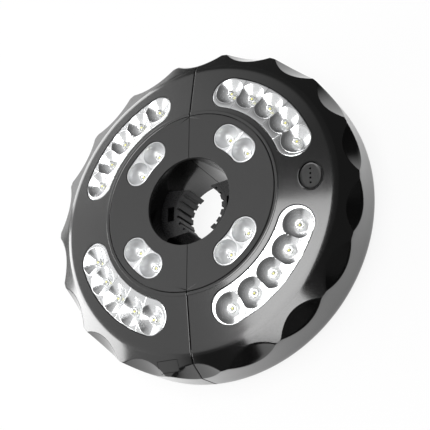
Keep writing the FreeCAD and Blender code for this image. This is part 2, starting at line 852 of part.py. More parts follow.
# ---------------------------------------------------------------- screws
def screw_unit(length):
    """A pan-head screw, head down: the head's flat underside is at Z = 0."""
    shank = cylinder(WHOLE, S.screw_radius, dim(length))
    head = cylinder(WHOLE, S.screw_head_radius, S.screw_head_height, 0, 0, -S.screw_head_height)
    deep = S.screw_head_height * 0.5
    slots = [block(WHOLE, S.screw_head_radius * 1.2, dim(0.7), deep, dim(0), dim(0),
                   -S.screw_head_height, angle) for angle in (0, 90)]
    return cut(fuse(shank, head), *slots)


# ---------------------------------------------------------------- jaws
def jaw_plan(half, name, low, height):
    """The jaw's plan: a nose that flares a little towards its tail."""
    return prism(half, name, [
        (S.jaw_nose, -S.jaw_nose_half), (S.jaw_flare_at, -S.jaw_half), (S.jaw_tail, -S.jaw_half),
        (S.jaw_tail, S.jaw_half), (S.jaw_flare_at, S.jaw_half), (S.jaw_nose, S.jaw_nose_half),
    ], height, low)


def make_jaw(half):
    high = S.jaw_high - S.jaw_low
    valley = S.grip_radius + S.rib_depth
    # ribbed pad
    strip = cut(cylinder(half, S.pad_back, high, 0, 0, S.jaw_low),
                cylinder(half, valley, high, 0, 0, S.jaw_low))
    ribs = []
    middle = (float(S.rib_count) - 1) / 2
    for i in range(int(float(S.rib_count))):
        angle = S.rib_pitch * (i - middle)
        ribs.append(block(half, S.rib_depth + 1.6, S.rib_width, high,
                          *polar(S.grip_radius + S.rib_depth / 2, angle), S.jaw_low, angle))
    pad = common(fuse(strip, *ribs), jaw_plan(half, half.name + "_pad_plan", S.jaw_low, high))
    pad = cut(pad, cylinder(half, S.grip_radius, high, 0, 0, S.jaw_low))
    doc.recompute()
    eased = doc.addObject("Part::Fillet", half.name + "_pad_rounding")
    eased.Base = pad
    crest = []
    for i, edge in enumerate(pad.Shape.Edges):
        a, b = edge.Vertexes[0].Point, edge.Vertexes[-1].Point
        upright = abs(a.x - b.x) < 0.001 and abs(a.y - b.y) < 0.001 and abs(a.z - b.z) > 1
        if upright and abs(math.hypot(a.x, a.y) - float(S.grip_radius)) < 0.01:
            crest.append((i + 1, float(S.rib_round), float(S.rib_round)))
    eased.Edges = crest
    node(half.name + "_jaw_pad", eased)
    # block that carries the pad
    carrier = cut(jaw_plan(half, half.name + "_jaw_plan", S.jaw_low, high),
                  cylinder(half, S.pad_back + S.face_gap, high, 0, 0, S.jaw_low))
    flange = span(half, S.jaw_flange_at, S.jaw_flange_at + S.jaw_flange, -S.jaw_flange_half,
                  S.jaw_flange_half, S.jaw_low, S.jaw_high)
    slot = span(half, S.jaw_slot_at, S.jaw_slot_at + S.jaw_slot_length, -S.jaw_slot_half,
                S.jaw_slot_half, S.jaw_high - S.jaw_slot_deep, S.jaw_high + 1)
    tools = [slot]
    mid = (S.jaw_low + S.jaw_high) / 2
    room = S.jaw_spring_radius + S.jaw_spring_wire
    for side in (-1, 1):
        tools.append(cylinder(half, room, dim(20), S.jaw_flare_at, side * S.jaw_spring_spread,
                              mid, along_x()))
    node(half.name + "_jaw_block", cut(fuse(carrier, flange), *tools))
    # two springs that push the jaw to the pole
    length = S.cradle_back - S.jaw_flare_at
    spring = coil(S.jaw_spring_radius, S.jaw_spring_wire, length, S.jaw_spring_turns)
    unit = shape_node("jaw_spring", spring)
    unit.Placement = FreeCAD.Placement(V(), along_x())
    spots = [(S.jaw_flare_at, side * S.jaw_spring_spread, mid) for side in (-1, 1)]
    group(half, half.name + "_jaw_springs", unit, spots)


# ---------------------------------------------------------------- back covers
def cell_centres():
    return [S.cell_near, S.cell_near + S.cell_pitch]


def tub_limits():
    """Inner limits (x0, x1, half length, top) of the battery compartment."""
    reach = S.cell_radius + S.fit_gap
    x0, x1 = S.cell_near - reach, S.cell_near + S.cell_pitch + reach
    half_length = S.cell_length / 2 + S.cell_end_room
    return x0, x1, half_length, S.cell_height + reach


def hook_recess_limits():
    """Inner limits (x0, x1, y0, y1) of the hook's recess."""
    side = S.hook_outer + S.hook_room
    far = S.hook_pivot_y + S.hook_barrel + S.hook_room
    near = S.hook_pivot_y - S.hook_reach - S.hook_outer - S.hook_room
    return S.hook_x - side, S.hook_x + side, near, far


def make_back_cover(half):
    low, thick = dim(0), S.cover_thick
    plate = cut(cylinder(half, S.cover_radius, thick), cylinder(half, HOLE_OUTER + S.fit_gap, thick))
    plate = common(plate, half_space(half, INSIDE + S.fit_gap))
    x0, x1, reach, roof = tub_limits()
    wall = S.tub_wall
    tub = span(half, x0 - wall, x1 + wall, -reach - wall, reach + wall, thick / 2, roof + wall)
    hx0, hx1, hy0, hy1 = hook_recess_limits()
    recess = span(half, hx0 - wall, hx1 + wall, hy0 - wall, hy1 + wall, thick / 2, S.hook_depth + wall)
    # cradle that guides the jaw and seats its springs
    rail = S.cradle_wall
    inner = S.jaw_flange_half + S.fit_gap
    post = S.jaw_flange_at - S.fit_gap
    cradle = [
        span(half, S.cradle_back, S.cradle_back + rail, -inner - rail, inner + rail, thick / 2,
             S.cradle_high),
    ]
    for side in (-1, 1):
        y0, y1 = (inner, inner + rail) if side > 0 else (-inner - rail, -inner)
        cradle.append(span(half, post - rail, S.cradle_back + rail, y0, y1, thick / 2, S.cradle_high))
        stop = S.jaw_half + S.window_gap + 0.2
        y0, y1 = (stop, inner + rail) if side > 0 else (-inner - rail, -stop)
        cradle.append(span(half, post - rail, post, y0, y1, thick / 2, S.cradle_high))
        y0, y1 = (S.jaw_half - 5, S.jaw_half) if side > 0 else (-S.jaw_half, -S.jaw_half + 5)
        cradle.append(span(half, HOLE_OUTER + 1.5, S.cradle_back, y0, y1, thick / 2,
                           S.jaw_low - S.fit_gap))
    body = fuse(plate, tub, recess, *cradle)
    cuts = [span(half, x0, x1, -reach, reach, dim(-1.0), roof)]
    ledge = S.door_ledge
    cuts.append(span(half, x0 - ledge, x1 + ledge, -reach - ledge, reach + ledge, dim(-1.0),
                     S.door_thick + 0.1))
    cuts.append(span(half, hx0, hx1, hy0, hy1, dim(-1.0), S.hook_depth))
    pin_half = (hx1 - hx0) / 2 + wall * 0.6
    cuts.append(cylinder(half, S.hook_pin_radius, pin_half * 2, S.hook_x - pin_half,
                         S.hook_pivot_y, S.hook_pivot_height, along_x()))
    # bosses that carry the hook's pin next to its barrel
    ears = []
    for side in (-1, 1):
        x_in = S.hook_x + side * (S.hook_barrel_half + S.fit_gap)
        x_out = S.hook_x + side * (S.hook_outer + S.hook_room + 0.5)
        ear = span(half, x_in if side > 0 else x_out, x_out if side > 0 else x_in,
                   S.hook_pivot_y - S.hook_barrel, hy1 + 0.2, dim(0.4), S.hook_depth + 0.5)
        ears.append(cut(ear, cylinder(half, S.hook_pin_radius, pin_half * 2, S.hook_x - pin_half,
                                      S.hook_pivot_y, S.hook_pivot_height, along_x())))
    for ring, angle in COVER_SCREWS:
        x, y = polar(ring, angle)
        cuts.append(cylinder(half, S.screw_radius + S.fit_gap, dim(10), x, y, dim(-1.0)))
        cuts.append(cylinder(half, S.screw_head_radius + S.fit_gap, SCREW_SEAT + 1, x, y, dim(-1.0)))
    return node(half.name + "_back_cover", fuse(cut(body, *cuts), *ears))


def make_battery_parts(half):
    x0, x1, reach, roof = tub_limits()
    ledge = S.door_ledge - S.fit_gap
    door = span(half, x0 - ledge, x1 + ledge, -reach - ledge, reach + ledge, dim(0), S.door_thick)
    grip = [span(half, (x0 + x1) / 2 - 6, (x0 + x1) / 2 + 6, -reach + 2.4 * i + 4, -reach + 2.4 * i + 5,
                 dim(-1.0), dim(0.6)) for i in range(4)]
    node(half.name + "_battery_door", cut(door, *grip))
    cells, plates = [], []
    for i, x in enumerate(cell_centres()):
        side = 1 if i else -1
        can = cylinder(half, S.cell_radius, S.cell_length, x, -S.cell_length / 2, S.cell_height,
                       along_y())
        start = side * S.cell_length / 2
        nub = cylinder(half, S.cell_nub, S.cell_nub_length, x, start, S.cell_height, along_y(side))
        cells.append(fuse(can, nub))
        for end in (-1, 1):
            outer, inner = end * reach, end * (reach - S.contact_thick)
            plate = span(half, x - S.contact_width / 2, x + S.contact_width / 2,
                         outer if end < 0 else inner, inner if end < 0 else outer,
                         S.cell_height - S.contact_width / 2, S.cell_height + S.contact_width / 2)
            if end == side:
                plates.append(plate)
            else:
                bump = cone(half, S.cell_nub, S.cell_nub / 2, S.contact_bump, x, inner,
                            S.cell_height, along_y(-end))
                plates.append(fuse(plate, bump))
    compound(half.name + "_battery_cells", cells)
    compound(half.name + "_battery_contacts", plates)


def compound(name, things):
    joined = doc.addObject("Part::Compound", name)
    joined.Links = list(things)
    return node(name, joined)


def make_hook(half):
    """A flat hook that folds out of its recess about a steel pin."""
    low = S.hook_pivot_height - S.hook_thick / 2
    end_y = S.hook_pivot_y - S.hook_reach
    barrel = cylinder(half, S.hook_barrel, S.hook_barrel_half * 2, S.hook_x - S.hook_barrel_half,
                      S.hook_pivot_y, S.hook_pivot_height, along_x())
    shank = span(half, S.hook_x - S.hook_wire / 2, S.hook_x + S.hook_wire / 2,
                 end_y + S.hook_outer - S.hook_wire / 2, S.hook_pivot_y, low, low + S.hook_thick)
    ring = cut(cylinder(half, S.hook_outer, S.hook_thick, S.hook_x, end_y, low),
               cylinder(half, S.hook_outer - S.hook_wire, S.hook_thick, S.hook_x, end_y, low))
    mouth = span(half, S.hook_x + S.hook_wire / 2, S.hook_x + S.hook_outer + 1,
                 end_y, end_y + S.hook_outer + 1, low - 1, low + S.hook_thick + 1)
    body = fuse(cut(ring, mouth), shank, barrel)
    bore = cylinder(half, S.hook_pin_radius + S.pin_gap, S.hook_barrel_half * 2 + 2,
                    S.hook_x - S.hook_barrel_half - 1, S.hook_pivot_y, S.hook_pivot_height, along_x())
    node(half.name + "_hanging_hook", cut(body, bore))
    pin_half = S.hook_outer + S.hook_room + S.tub_wall * 0.5
    node(half.name + "_hook_pin", cylinder(half, S.hook_pin_radius, pin_half * 2,
                                           S.hook_x - pin_half, S.hook_pivot_y,
                                           S.hook_pivot_height, along_x()))


# ---------------------------------------------------------------- latch, in the left half
def make_latch():
    half = LEFT
    x0, x1 = S.latch_x - S.latch_half, S.latch_x + S.latch_half
    plug = common(OUTER, span(half, x0, x1, S.latch_top_y, S.latch_low_y, S.latch_root, dim(TALL)))
    lip = span(half, S.latch_x - 6, S.latch_x + 6, S.latch_top_y - 2.4, S.latch_top_y + 1,
               S.latch_root + 5.5, S.latch_root + 7)
    foot_top = S.latch_foot_low + S.latch_foot_thick
    stem_x = S.tongue_reach + S.latch_gap * 6
    stem = span(half, stem_x, stem_x + 6.5, S.latch_top_y + 1, S.latch_low_y - 1.8,
                S.latch_foot_low, S.latch_root + 1)
    bridge = span(half, stem_x, stem_x + 6.5, S.latch_top_y, S.latch_low_y - 1.8, S.latch_root - 2,
                  S.latch_root + 2)
    tooth_x = S.tongue_reach - 4
    foot = span(half, tooth_x - 0.5, stem_x + 3, S.latch_top_y + 1, S.latch_low_y - 2.3,
                S.latch_foot_low, foot_top)
    tooth = span(half, tooth_x, tooth_x + 2.4, S.latch_top_y + 1.4, S.latch_low_y - 4,
                 foot_top, S.tongue_low - S.fit_gap)
    node("latch_button", fuse(plug, lip, stem, bridge, foot, tooth))
    length = S.latch_foot_low - S.latch_seat
    spring = shape_node("latch_spring_unit", coil(S.latch_spring_radius, S.latch_spring_wire, length,
                                                  S.latch_spring_turns))
    group(half, "latch_spring", spring, [(S.latch_x - 3, (S.latch_top_y + S.tongue_far) / 2,
                                          S.latch_seat)])
    # tongue on the right half: reaches across the seam, with a window for the tooth
    high = S.tongue_low + S.tongue_thick
    strip = span(RIGHT, -S.tongue_reach, S.tongue_tail, -S.tongue_far, -S.tongue_near,
                 S.tongue_low, high)
    window = span(RIGHT, -tooth_x - 3, -tooth_x + 0.6, -S.latch_low_y + 3.6, -S.latch_top_y - 1,
                  S.tongue_low - 1, high + 1)
    holes = [cylinder(RIGHT, S.screw_radius + S.fit_gap, S.tongue_thick + 2, x,
                      dim(-1) * tongue_middle(), S.tongue_low - 1) for x in tongue_screw_x()]
    node("latch_tongue", cut(strip, window, *holes))


# ---------------------------------------------------------------- power button, in the right half
def make_button():
    half = RIGHT
    tilt = turned(V(0, 1, 0), ANNULUS_SLOPE)
    top = annulus_height(S.button_x) - 0.1

    def on_axis(depth):
        """A point below the face along the button's own axis."""
        return (S.button_x - depth * sind(ANNULUS_SLOPE), S.button_y,
                top - depth * cosd(ANNULUS_SLOPE))

    deep = S.button_thick
    wide, long = S.button_half_width, S.button_half_length
    cap = oval(half, wide, long, deep, *on_axis(deep), tilt)
    flange_low = deep + S.button_flange + S.fit_gap
    lip = S.button_lip
    flange = oval(half, wide + lip, long + lip, S.button_flange, *on_axis(flange_low), tilt)
    neck = oval(half, wide - 0.5, long - 0.5, S.fit_gap + 0.2, *on_axis(deep + S.fit_gap + 0.1), tilt)
    dots = []
    middle = (float(S.dot_count) - 1) / 2
    for i in range(int(float(S.dot_count))):
        x, y, z = on_axis(dim(0.35))
        dots.append(cylinder(half, S.dot_radius, dim(2), x, y + S.dot_pitch * (i - middle), z, tilt))
    node("power_button", cut(fuse(cap, flange, neck), *dots))
    low = S.switch_board_top - S.switch_board_thick
    half_y = long + 5 + S.boss_radius
    board = span(half, S.button_x - S.switch_board_half, S.button_x + S.switch_board_half,
                 S.button_y - half_y, S.button_y + half_y, low, S.switch_board_top)
    holes = [cylinder(half, S.screw_radius + S.fit_gap, S.switch_board_thick + 2, S.button_x, y,
                      low - 1) for y in switch_screw_y()]
    node("switch_board", cut(board, *holes))
    foot_x = S.button_x - (flange_low + 1) * sind(ANNULUS_SLOPE)
    base = block(half, S.switch_size, S.switch_size, dim(1.8), foot_x, S.button_y, S.switch_board_top)
    reach = top - flange_low * cosd(ANNULUS_SLOPE) - S.button_travel - S.switch_board_top - 0.5
    plunger = cylinder(half, S.plunger_radius, reach, foot_x, S.button_y, S.switch_board_top)
    node("power_switch", fuse(base, plunger))


# ---------------------------------------------------------------- wires and hinge pin
def make_leads():
    radius, bend = float(S.lead_radius), float(S.lead_bend)
    under_board = float(S.board_top - S.board_thick)
    x0, x1, reach, roof = tub_limits()
    for half in HALVES:
        wall = float(reach + S.tub_wall)
        x, y = float(x0 + x1) / 2, wall + 2 * bend
        route = [V(x, wall, float(S.cell_height)), V(x, y, float(S.cell_height)), V(x, y, under_board)]
        own = FreeCAD.Placement(V(), FreeCAD.Rotation(V(0, 0, 1), 0 if half.sign > 0 else 180))
        node(half.name + "_battery_lead",
             shape_node(half.name + "_lead", lead(route, radius, bend), own))
    x, y, seam_y = float(S.lead_board_x), float(S.lead_board_y), float(S.lead_seam_y)
    level = float(S.lead_height)
    route = [V(-x, y, under_board), V(-x, y, level), V(-x / 2, seam_y, level),
             V(x / 2, seam_y, level), V(x, y, level), V(x, y, under_board)]
    node("hinge_lead", shape_node("hinge_wires", lead(route, radius, bend)))


def make_hinge_pin():
    (low, _), (_, high) = knuckles(WHOLE, (0,))[0], knuckles(WHOLE, (2,))[0]
    pin = cylinder(WHOLE, S.hinge_pin_radius, high - low, 0, S.hinge_y, low)
    node("hinge_pin", pin)


# ---------------------------------------------------------------- build
dome = light_unit()
chip = block(WHOLE, S.chip_size, S.chip_size, S.chip_height, dim(0), dim(0), dim(0))
long_screw = screw_unit(S.screw_length)
short_screw = screw_unit(dim(4.6))
doc.recompute()
for half in HALVES:
    is_left = half is LEFT
    make_front_shell(half, is_left)
    make_face_plate(half)
    make_reflectors(half)
    make_light_board(half, is_left)
    make_lights(half, dome, chip)
    make_jaw(half)
    make_back_cover(half)
    make_battery_parts(half)
    make_hook(half)
    seats = [(*polar(ring, angle), SCREW_SEAT) for ring, angle in COVER_SCREWS]
    group(half, half.name + "_cover_screws", long_screw, seats)
    board_low = S.board_top - S.board_thick
    seats = [(*polar(ring, angle), board_low) for ring, angle in BOARD_SCREWS]
    group(half, half.name + "_board_screws", short_screw, seats)
seats = [(S.button_x, y, S.switch_board_top - S.switch_board_thick) for y in switch_screw_y()]
group(RIGHT, "switch_screws", short_screw, seats)
seats = [(x, dim(-1) * tongue_middle(), S.tongue_low) for x in tongue_screw_x()]
group(RIGHT, "tongue_screws", short_screw, seats)
make_latch()
make_button()
make_leads()
make_hinge_pin()
doc.recompute()

# ---------------------------------------------------------------- check and write
failed = [thing.Label for thing in doc.Objects if {"Invalid", "Error"} & set(thing.State)]
if failed:
    raise RuntimeError("objects that failed: %s" % failed)
for name, thing in NODES.items():
    shape = thing.Shape
    if shape.isNull() or not shape.isValid() or not shape.Solids:
        raise RuntimeError("bad shape: " + name)
os.makedirs("parts", exist_ok=True)
for name, thing in NODES.items():
    thing.Shape.exportStep(os.path.join("parts", name + ".step"))
print("%d nodes written" % len(NODES))
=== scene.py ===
"""Looks of a cordless ring light that clamps round an umbrella pole.

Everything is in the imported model's frame: metres, Z along the pole and out of the light face, the
back plane at Z = 0, the split between the halves on X = 0, hinge at +Y, latch at -Y and power
button at +X. Shapes are worked out in millimetres in one half's own frame, where X points from the
split into that half. The left half is the right half's shape turned half a turn about Z.
"""

import math

import bmesh
import bpy
import numpy as np
from bpy.props import FloatProperty, FloatVectorProperty, PointerProperty
from mathutils import Euler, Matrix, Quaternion, Vector


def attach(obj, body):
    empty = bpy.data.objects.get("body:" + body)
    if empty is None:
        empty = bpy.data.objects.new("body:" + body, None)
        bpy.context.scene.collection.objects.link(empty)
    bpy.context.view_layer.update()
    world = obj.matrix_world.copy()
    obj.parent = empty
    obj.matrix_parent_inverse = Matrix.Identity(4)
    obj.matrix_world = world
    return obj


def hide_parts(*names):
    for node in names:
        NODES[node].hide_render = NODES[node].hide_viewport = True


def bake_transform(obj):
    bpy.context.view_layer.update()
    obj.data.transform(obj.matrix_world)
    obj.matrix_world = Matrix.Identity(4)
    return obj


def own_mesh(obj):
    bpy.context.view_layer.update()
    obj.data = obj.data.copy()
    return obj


bl_info = {
    "name": "Patio umbrella light",
    "version": (1, 0, 0),
    "blender": (4, 5, 0),
    "location": "View3D > Sidebar > Lamp",
    "description": "Dresses the packed model of a clamp-on ring light",
    "category": "Object",
}

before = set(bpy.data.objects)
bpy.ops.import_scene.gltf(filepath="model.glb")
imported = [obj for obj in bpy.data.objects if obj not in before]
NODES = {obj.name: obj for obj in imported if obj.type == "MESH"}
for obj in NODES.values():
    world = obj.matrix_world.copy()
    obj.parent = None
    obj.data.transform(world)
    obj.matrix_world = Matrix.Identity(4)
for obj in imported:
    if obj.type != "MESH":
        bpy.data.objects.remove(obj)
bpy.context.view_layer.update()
MM = 0.001
HALVES = {"left": -1.0, "right": 1.0}

# ------------------------------------------------------------------ sizes of the real lamp, mm
BODY_RADIUS, BODY_HEIGHT, BASE_ROUND = 110.0, 46.0, 8.5
SEAM = 0.2
FACE_RADIUS, FACE_EDGE_HEIGHT, FACE_PATCH_END = 97.0, 39.6, 92.0
RING_EDGE, RING_TOP, LIP_EDGE = 60.35, 45.7, 62.7
DISC_RADIUS, PLATE_SEAT = 60.0, 44.4
SHOULDER_HEIGHT = 33.0
FLUTES, FLUTE_RADIUS, FLUTE_FLOOR = 18, 50.0, 25.5
FLUTE_SLOPE = math.radians(57.5)
HOLE_FRONT, HOLE_BACK, HOLE_WALL = 29.5, 28.2, 31.8 / 29.0
JAW_WINDOW_LOW, JAW_WINDOW_HIGH, JAW_WINDOW_HALF_ANGLE = 10.5, 31.0, 38.2
HINGE_PIN_Y, HINGE_RELIEF_START, HINGE_RELIEF = 109.0, 108.2, 1.2
POCKET_WALL = 3.0
COVER_RADIUS, COVER_THICK = 99.6, 2.4
BOARD_TOP, BOARD_CLEAR = 38.0, 0.05
GROUP_ANGLE = 45.0
OUTER_RING, OUTER_HALF_WIDTH, OUTER_HALF_ANGLE = 77.3, 11.7, 24.2
CUP_RING, CUP_RADIUS, CUP_DEPTH, CUP_FOOT = 78.6, 9.5, 4.05, 2.7
INNER_RING, INNER_HALF_WIDTH, INNER_HALF_ANGLE, BOWL_RADIUS = 47.4, 9.0, 10.3, 7.9
REFLECTOR_GAP, REFLECTOR_RECESS = 0.35, 0.35
BUTTON_X, BUTTON_Y, BUTTON_HALF_WIDTH, BUTTON_HALF_LENGTH, BUTTON_GAP = 82.3, 1.5, 6.8, 8.5, 0.35
DOT_RADIUS, DOT_PITCH, DOTS = 0.65, 3.05, 4
WIRE_RADIUS, WIRE_X, WIRE_Y, WIRE_SEAM_Y, WIRE_LOW, WIRE_HIGH = 1.1, 18.0, 80.0, 95.0, 30.0, 36.4
WIRE_BEND = 3.0
LATCH_X, LATCH_HALF, LATCH_NEAR, LATCH_FAR, LATCH_GAP = 18.0, 7.4, 99.5, 106.0, 0.25
LATCH_PATCH_LOW, LATCH_PATCH_HIGH = 73.7, 86.1
FACE_BEND_START, FACE_BEND_END, FLUTE_SOFT = 94.87, 98.92, 0.35
RING_SLOPE = math.atan2(RING_TOP - FACE_EDGE_HEIGHT, FACE_RADIUS - RING_EDGE)
SHOULDER_SLOPE = (FACE_EDGE_HEIGHT - SHOULDER_HEIGHT) / (BODY_RADIUS - FACE_RADIUS)
# columns beside a rounded edge, as shares of its radius
EDGE_STEPS = np.array([0, 0.06, 0.14, 0.26, 0.42, 0.62, 1.0, 1.5])
# rows of rim_profile where the bend at the face's edge ends and where the flutes end
BEND_ROW, RIM_ROW = 11, 27


# ------------------------------------------------------------------ mesh tools
class Sheets:
    """Gathers grids of points, each (rows, columns, 3) in mm, and makes them one mesh."""

    def __init__(self):
        self.points, self.faces, self.slots, self.count = [], [], [], 0

    def grid(self, points, wrap=False, flip=False, slot=0):
        """Adds a grid, closed on itself with wrap and turned inside out with flip."""
        rows, columns = points.shape[:2]
        index = np.arange(rows * columns).reshape(rows, columns) + self.count
        if wrap:
            index = np.concatenate([index, index[:, :1]], axis=1)
        a, b = index[:-1, :-1].ravel(), index[:-1, 1:].ravel()
        c, d = index[1:, 1:].ravel(), index[1:, :-1].ravel()
        quads = np.stack([a, d, c, b] if flip else [a, b, c, d], axis=1)
        self.points.append(points.reshape(-1, 3))
        self.faces.append(quads)
        self.slots.append(np.full(len(quads), slot))
        self.count += rows * columns
        return self

    def piece(self, name, materials, sign=1.0, sharp=35.0, merge=2e-6):
        """One smooth-shaded object at the origin, turned half a turn about Z where sign is -1."""
        points = np.concatenate(self.points) * np.array([sign, sign, 1.0]) * MM
        mesh = bpy.data.meshes.new(name)
        mesh.from_pydata(points.tolist(), [], np.concatenate(self.faces).tolist())
        for material in materials:
            mesh.materials.append(material)
        mesh.polygons.foreach_set("material_index", np.concatenate(self.slots).astype(np.int32))
        tidy = bmesh.new()
        tidy.from_mesh(mesh)
        bmesh.ops.remove_doubles(tidy, verts=tidy.verts, dist=merge)
        bmesh.ops.dissolve_degenerate(tidy, edges=tidy.edges, dist=merge)
        tidy.to_mesh(mesh)
        tidy.free()
        mesh.polygons.foreach_set("use_smooth", np.ones(len(mesh.polygons), bool))
        mesh.set_sharp_from_angle(angle=math.radians(sharp))
        mesh.update()
        return linked(name, mesh)


def linked(name, data):
    """A new object in the scene with this mesh, lamp or camera."""
    thing = bpy.data.objects.new(name, data)
    bpy.context.scene.collection.objects.link(thing)
    return thing


def coated(mesh, finish):
    """Gives a mesh one material in place of any that it has."""
    mesh.materials.clear()
    mesh.materials.append(MATERIALS[finish])


def merged(mesh, distance, outwards=False):
    """Joins the doubled corners of a mesh and, where asked, turns its faces outwards."""
    tidy = bmesh.new()
    tidy.from_mesh(mesh)
    bmesh.ops.remove_doubles(tidy, verts=tidy.verts, dist=distance)
    if outwards:
        bmesh.ops.recalc_face_normals(tidy, faces=tidy.faces)
    tidy.to_mesh(mesh)
    tidy.free()
    mesh.shade_smooth()


def polar(radius, turn, *height):
    """Points at a radius and an angle in radians: (r cos a, r sin a), then any height."""
    parts = (radius * np.cos(turn), radius * np.sin(turn), *height)
    return np.stack(np.broadcast_arrays(*parts), axis=-1)


def swept(profile, angles):
    """Turns (radius, height) points about Z, with the angles in degrees."""
    r, z = np.asarray(profile, float).T
    return polar(r[:, None], np.radians(angles), z[:, None])


def eased(start, corner, end, count):
    """A corner rounded by the parabola that touches both its sides:
    (1 - t)^2 start + 2 t (1 - t) corner + t^2 end."""
    t = np.linspace(0, 1, count).reshape((-1,) + (1,) * np.ndim(corner))
    start, corner, end = (np.asarray(p, float) for p in (start, corner, end))
    return (1 - t) ** 2 * start + 2 * t * (1 - t) * corner + t ** 2 * end


def ring_patch(inner, outer, shares, lift):
    """A band of surface between two closed loops of plan points that have equal counts.

    Plan point = inner + share x (outer - inner); lift gives each plan point its height."""
    shares = np.asarray(shares, float)[:, None, None]
    plan = inner + shares * (outer - inner)
    return np.concatenate([plan, lift(plan)[..., None]], axis=2)


def resample(points, count, open_end=True):
    """Points spread evenly by length along a polyline."""
    steps = np.r_[0, np.cumsum(np.linalg.norm(np.diff(points, axis=0), axis=1))]
    at = np.linspace(0, steps[-1], count, endpoint=open_end)
    return np.stack([np.interp(at, steps, points[:, i]) for i in (0, 1)], axis=1)


def plan_arc(radius, first, last, count, centre=(0.0, 0.0)):
    """Plan points of an arc: centre + radius x (cos a, sin a), from the first to the last angle."""
    return np.asarray(centre) + polar(radius, np.radians(np.linspace(first, last, count)))


def arc_slot(ring, half_width, half_angle, middle, count):
    """Outline of a round-ended slot along a circle, from its outer arc anticlockwise.

    Returned as four runs: outer arc with the caps' outer eighths, one cap's middle, inner arc with
    the caps' inner eighths, the other cap's middle. Each run has count points, its end left out."""
    low, high = middle - half_angle, middle + half_angle
    caps = {end: plan_arc(ring, end, end, 1)[0] for end in (low, high)}
    outer = np.concatenate([plan_arc(half_width, low - 45, low, 12, caps[low]),
                            plan_arc(ring + half_width, low, high, 60),
                            plan_arc(half_width, high, high + 45, 12, caps[high])])
    first = plan_arc(half_width, high + 45, high + 135, 30, caps[high])
    inner = np.concatenate([plan_arc(half_width, high + 135, high + 180, 12, caps[high]),
                            plan_arc(ring - half_width, high, low, 60),
                            plan_arc(half_width, low + 180, low + 225, 12, caps[low])])
    second = plan_arc(half_width, low + 225, low + 315, 30, caps[low])
    return np.concatenate([resample(run, number, False)
                           for run, number in zip((outer, first, inner, second), count)])


def sector_box(inner, outer, low, high, count, low_edge=None, high_edge=None):
    """Outline of a sector of a ring in four runs: outer arc, high side, inner arc, low side.

    A side may be a line of constant X instead of an angle, where the split cuts it."""
    def angle(radius, fixed, edge):
        if edge is None:
            return fixed
        return math.copysign(90 - math.degrees(math.asin(edge / radius)), fixed)

    ends = {r: (angle(r, low, low_edge), angle(r, high, high_edge)) for r in (inner, outer)}
    corner = {(r, i): plan_arc(r, ends[r][i], ends[r][i], 1)[0]
              for r in (inner, outer) for i in (0, 1)}
    runs = [plan_arc(outer, ends[outer][0], ends[outer][1], 240),
            np.array([corner[outer, 1], corner[inner, 1]]),
            plan_arc(inner, ends[inner][1], ends[inner][0], 240),
            np.array([corner[inner, 0], corner[outer, 0]])]
    return np.concatenate([resample(run, number, False) for run, number in zip(runs, count)])


# ------------------------------------------------------------------ the lamp's outer form
def face_height(radius):
    """The sloping face ring: a cone that falls evenly from the disc's groove to the shoulder."""
    return RING_TOP - (radius - RING_EDGE) * math.tan(RING_SLOPE)


def shoulder_height(radius):
    """The shoulder between the flutes: a steeper cone from the face's edge to the rim."""
    return FACE_EDGE_HEIGHT - (radius - FACE_RADIUS) * SHOULDER_SLOPE


def flute_height(radius, turn):
    """Height of a flute's floor. A flute is a cylinder laid down the shoulder: at w to the side of
    its middle its floor stands sqrt(R^2 - w^2) - R out from the floor's straight middle line."""
    w = radius * np.sin(turn)
    out = FLUTE_RADIUS - np.sqrt(FLUTE_RADIUS ** 2 - w ** 2)
    along = (radius * np.cos(turn) - BODY_RADIUS) * math.sin(FLUTE_SLOPE)
    return FLUTE_FLOOR + (out - along) / math.cos(FLUTE_SLOPE)


def skin_height(plan):
    """Height of the shoulder with its flutes at plan points: the lower of the cone and the
    flute's floor, eased where the two meet by h^2 / 4 soft, with h = soft - |difference|."""
    radius = np.hypot(plan[..., 0], plan[..., 1])
    turn = flute_turn(np.degrees(np.arctan2(plan[..., 1], plan[..., 0])))
    cone, floor = shoulder_height(radius), flute_height(radius, turn)
    near = np.maximum(FLUTE_SOFT - np.abs(cone - floor), 0)
    return np.minimum(cone, floor) - near ** 2 / (4 * FLUTE_SOFT)


def flute_edge(turn):
    """Radius where a flute's floor meets the shoulder's cone, found by halving."""
    low, high = np.full_like(turn, 98.0), np.full_like(turn, BODY_RADIUS)
    for _ in range(40):
        middle = (low + high) / 2
        above = flute_height(middle, turn) > shoulder_height(middle)
        low, high = np.where(above, middle, low), np.where(above, high, middle)
    return (low + high) / 2


def flute_turn(angles):
    """Angle from the middle of the nearest flute, in radians. A crest stands at the split."""
    pitch = 360.0 / FLUTES
    return np.radians(angles % pitch - pitch / 2)


def seam_columns(edge_round):
    """Angles right round one half, with extra columns of fixed X beside the split.

    Returns (angles at the rim, distance from the split or nan)."""
    near = EDGE_STEPS * edge_round
    inner = np.arange(-89.0, 89.01, 0.4)
    away = np.r_[near, np.full(len(inner), np.nan), near[::-1]]
    angles = np.r_[np.full(len(near), -90.0), inner, np.full(len(near), 90.0)]
    return angles, away


def ease_depth(away, edge_round):
    """How far a rounded edge has dropped at a distance from it: R - sqrt(R^2 - (R - d)^2)."""
    short = np.clip(edge_round - np.nan_to_num(away, nan=edge_round), 0, edge_round)
    return edge_round - np.sqrt(edge_round ** 2 - short ** 2)


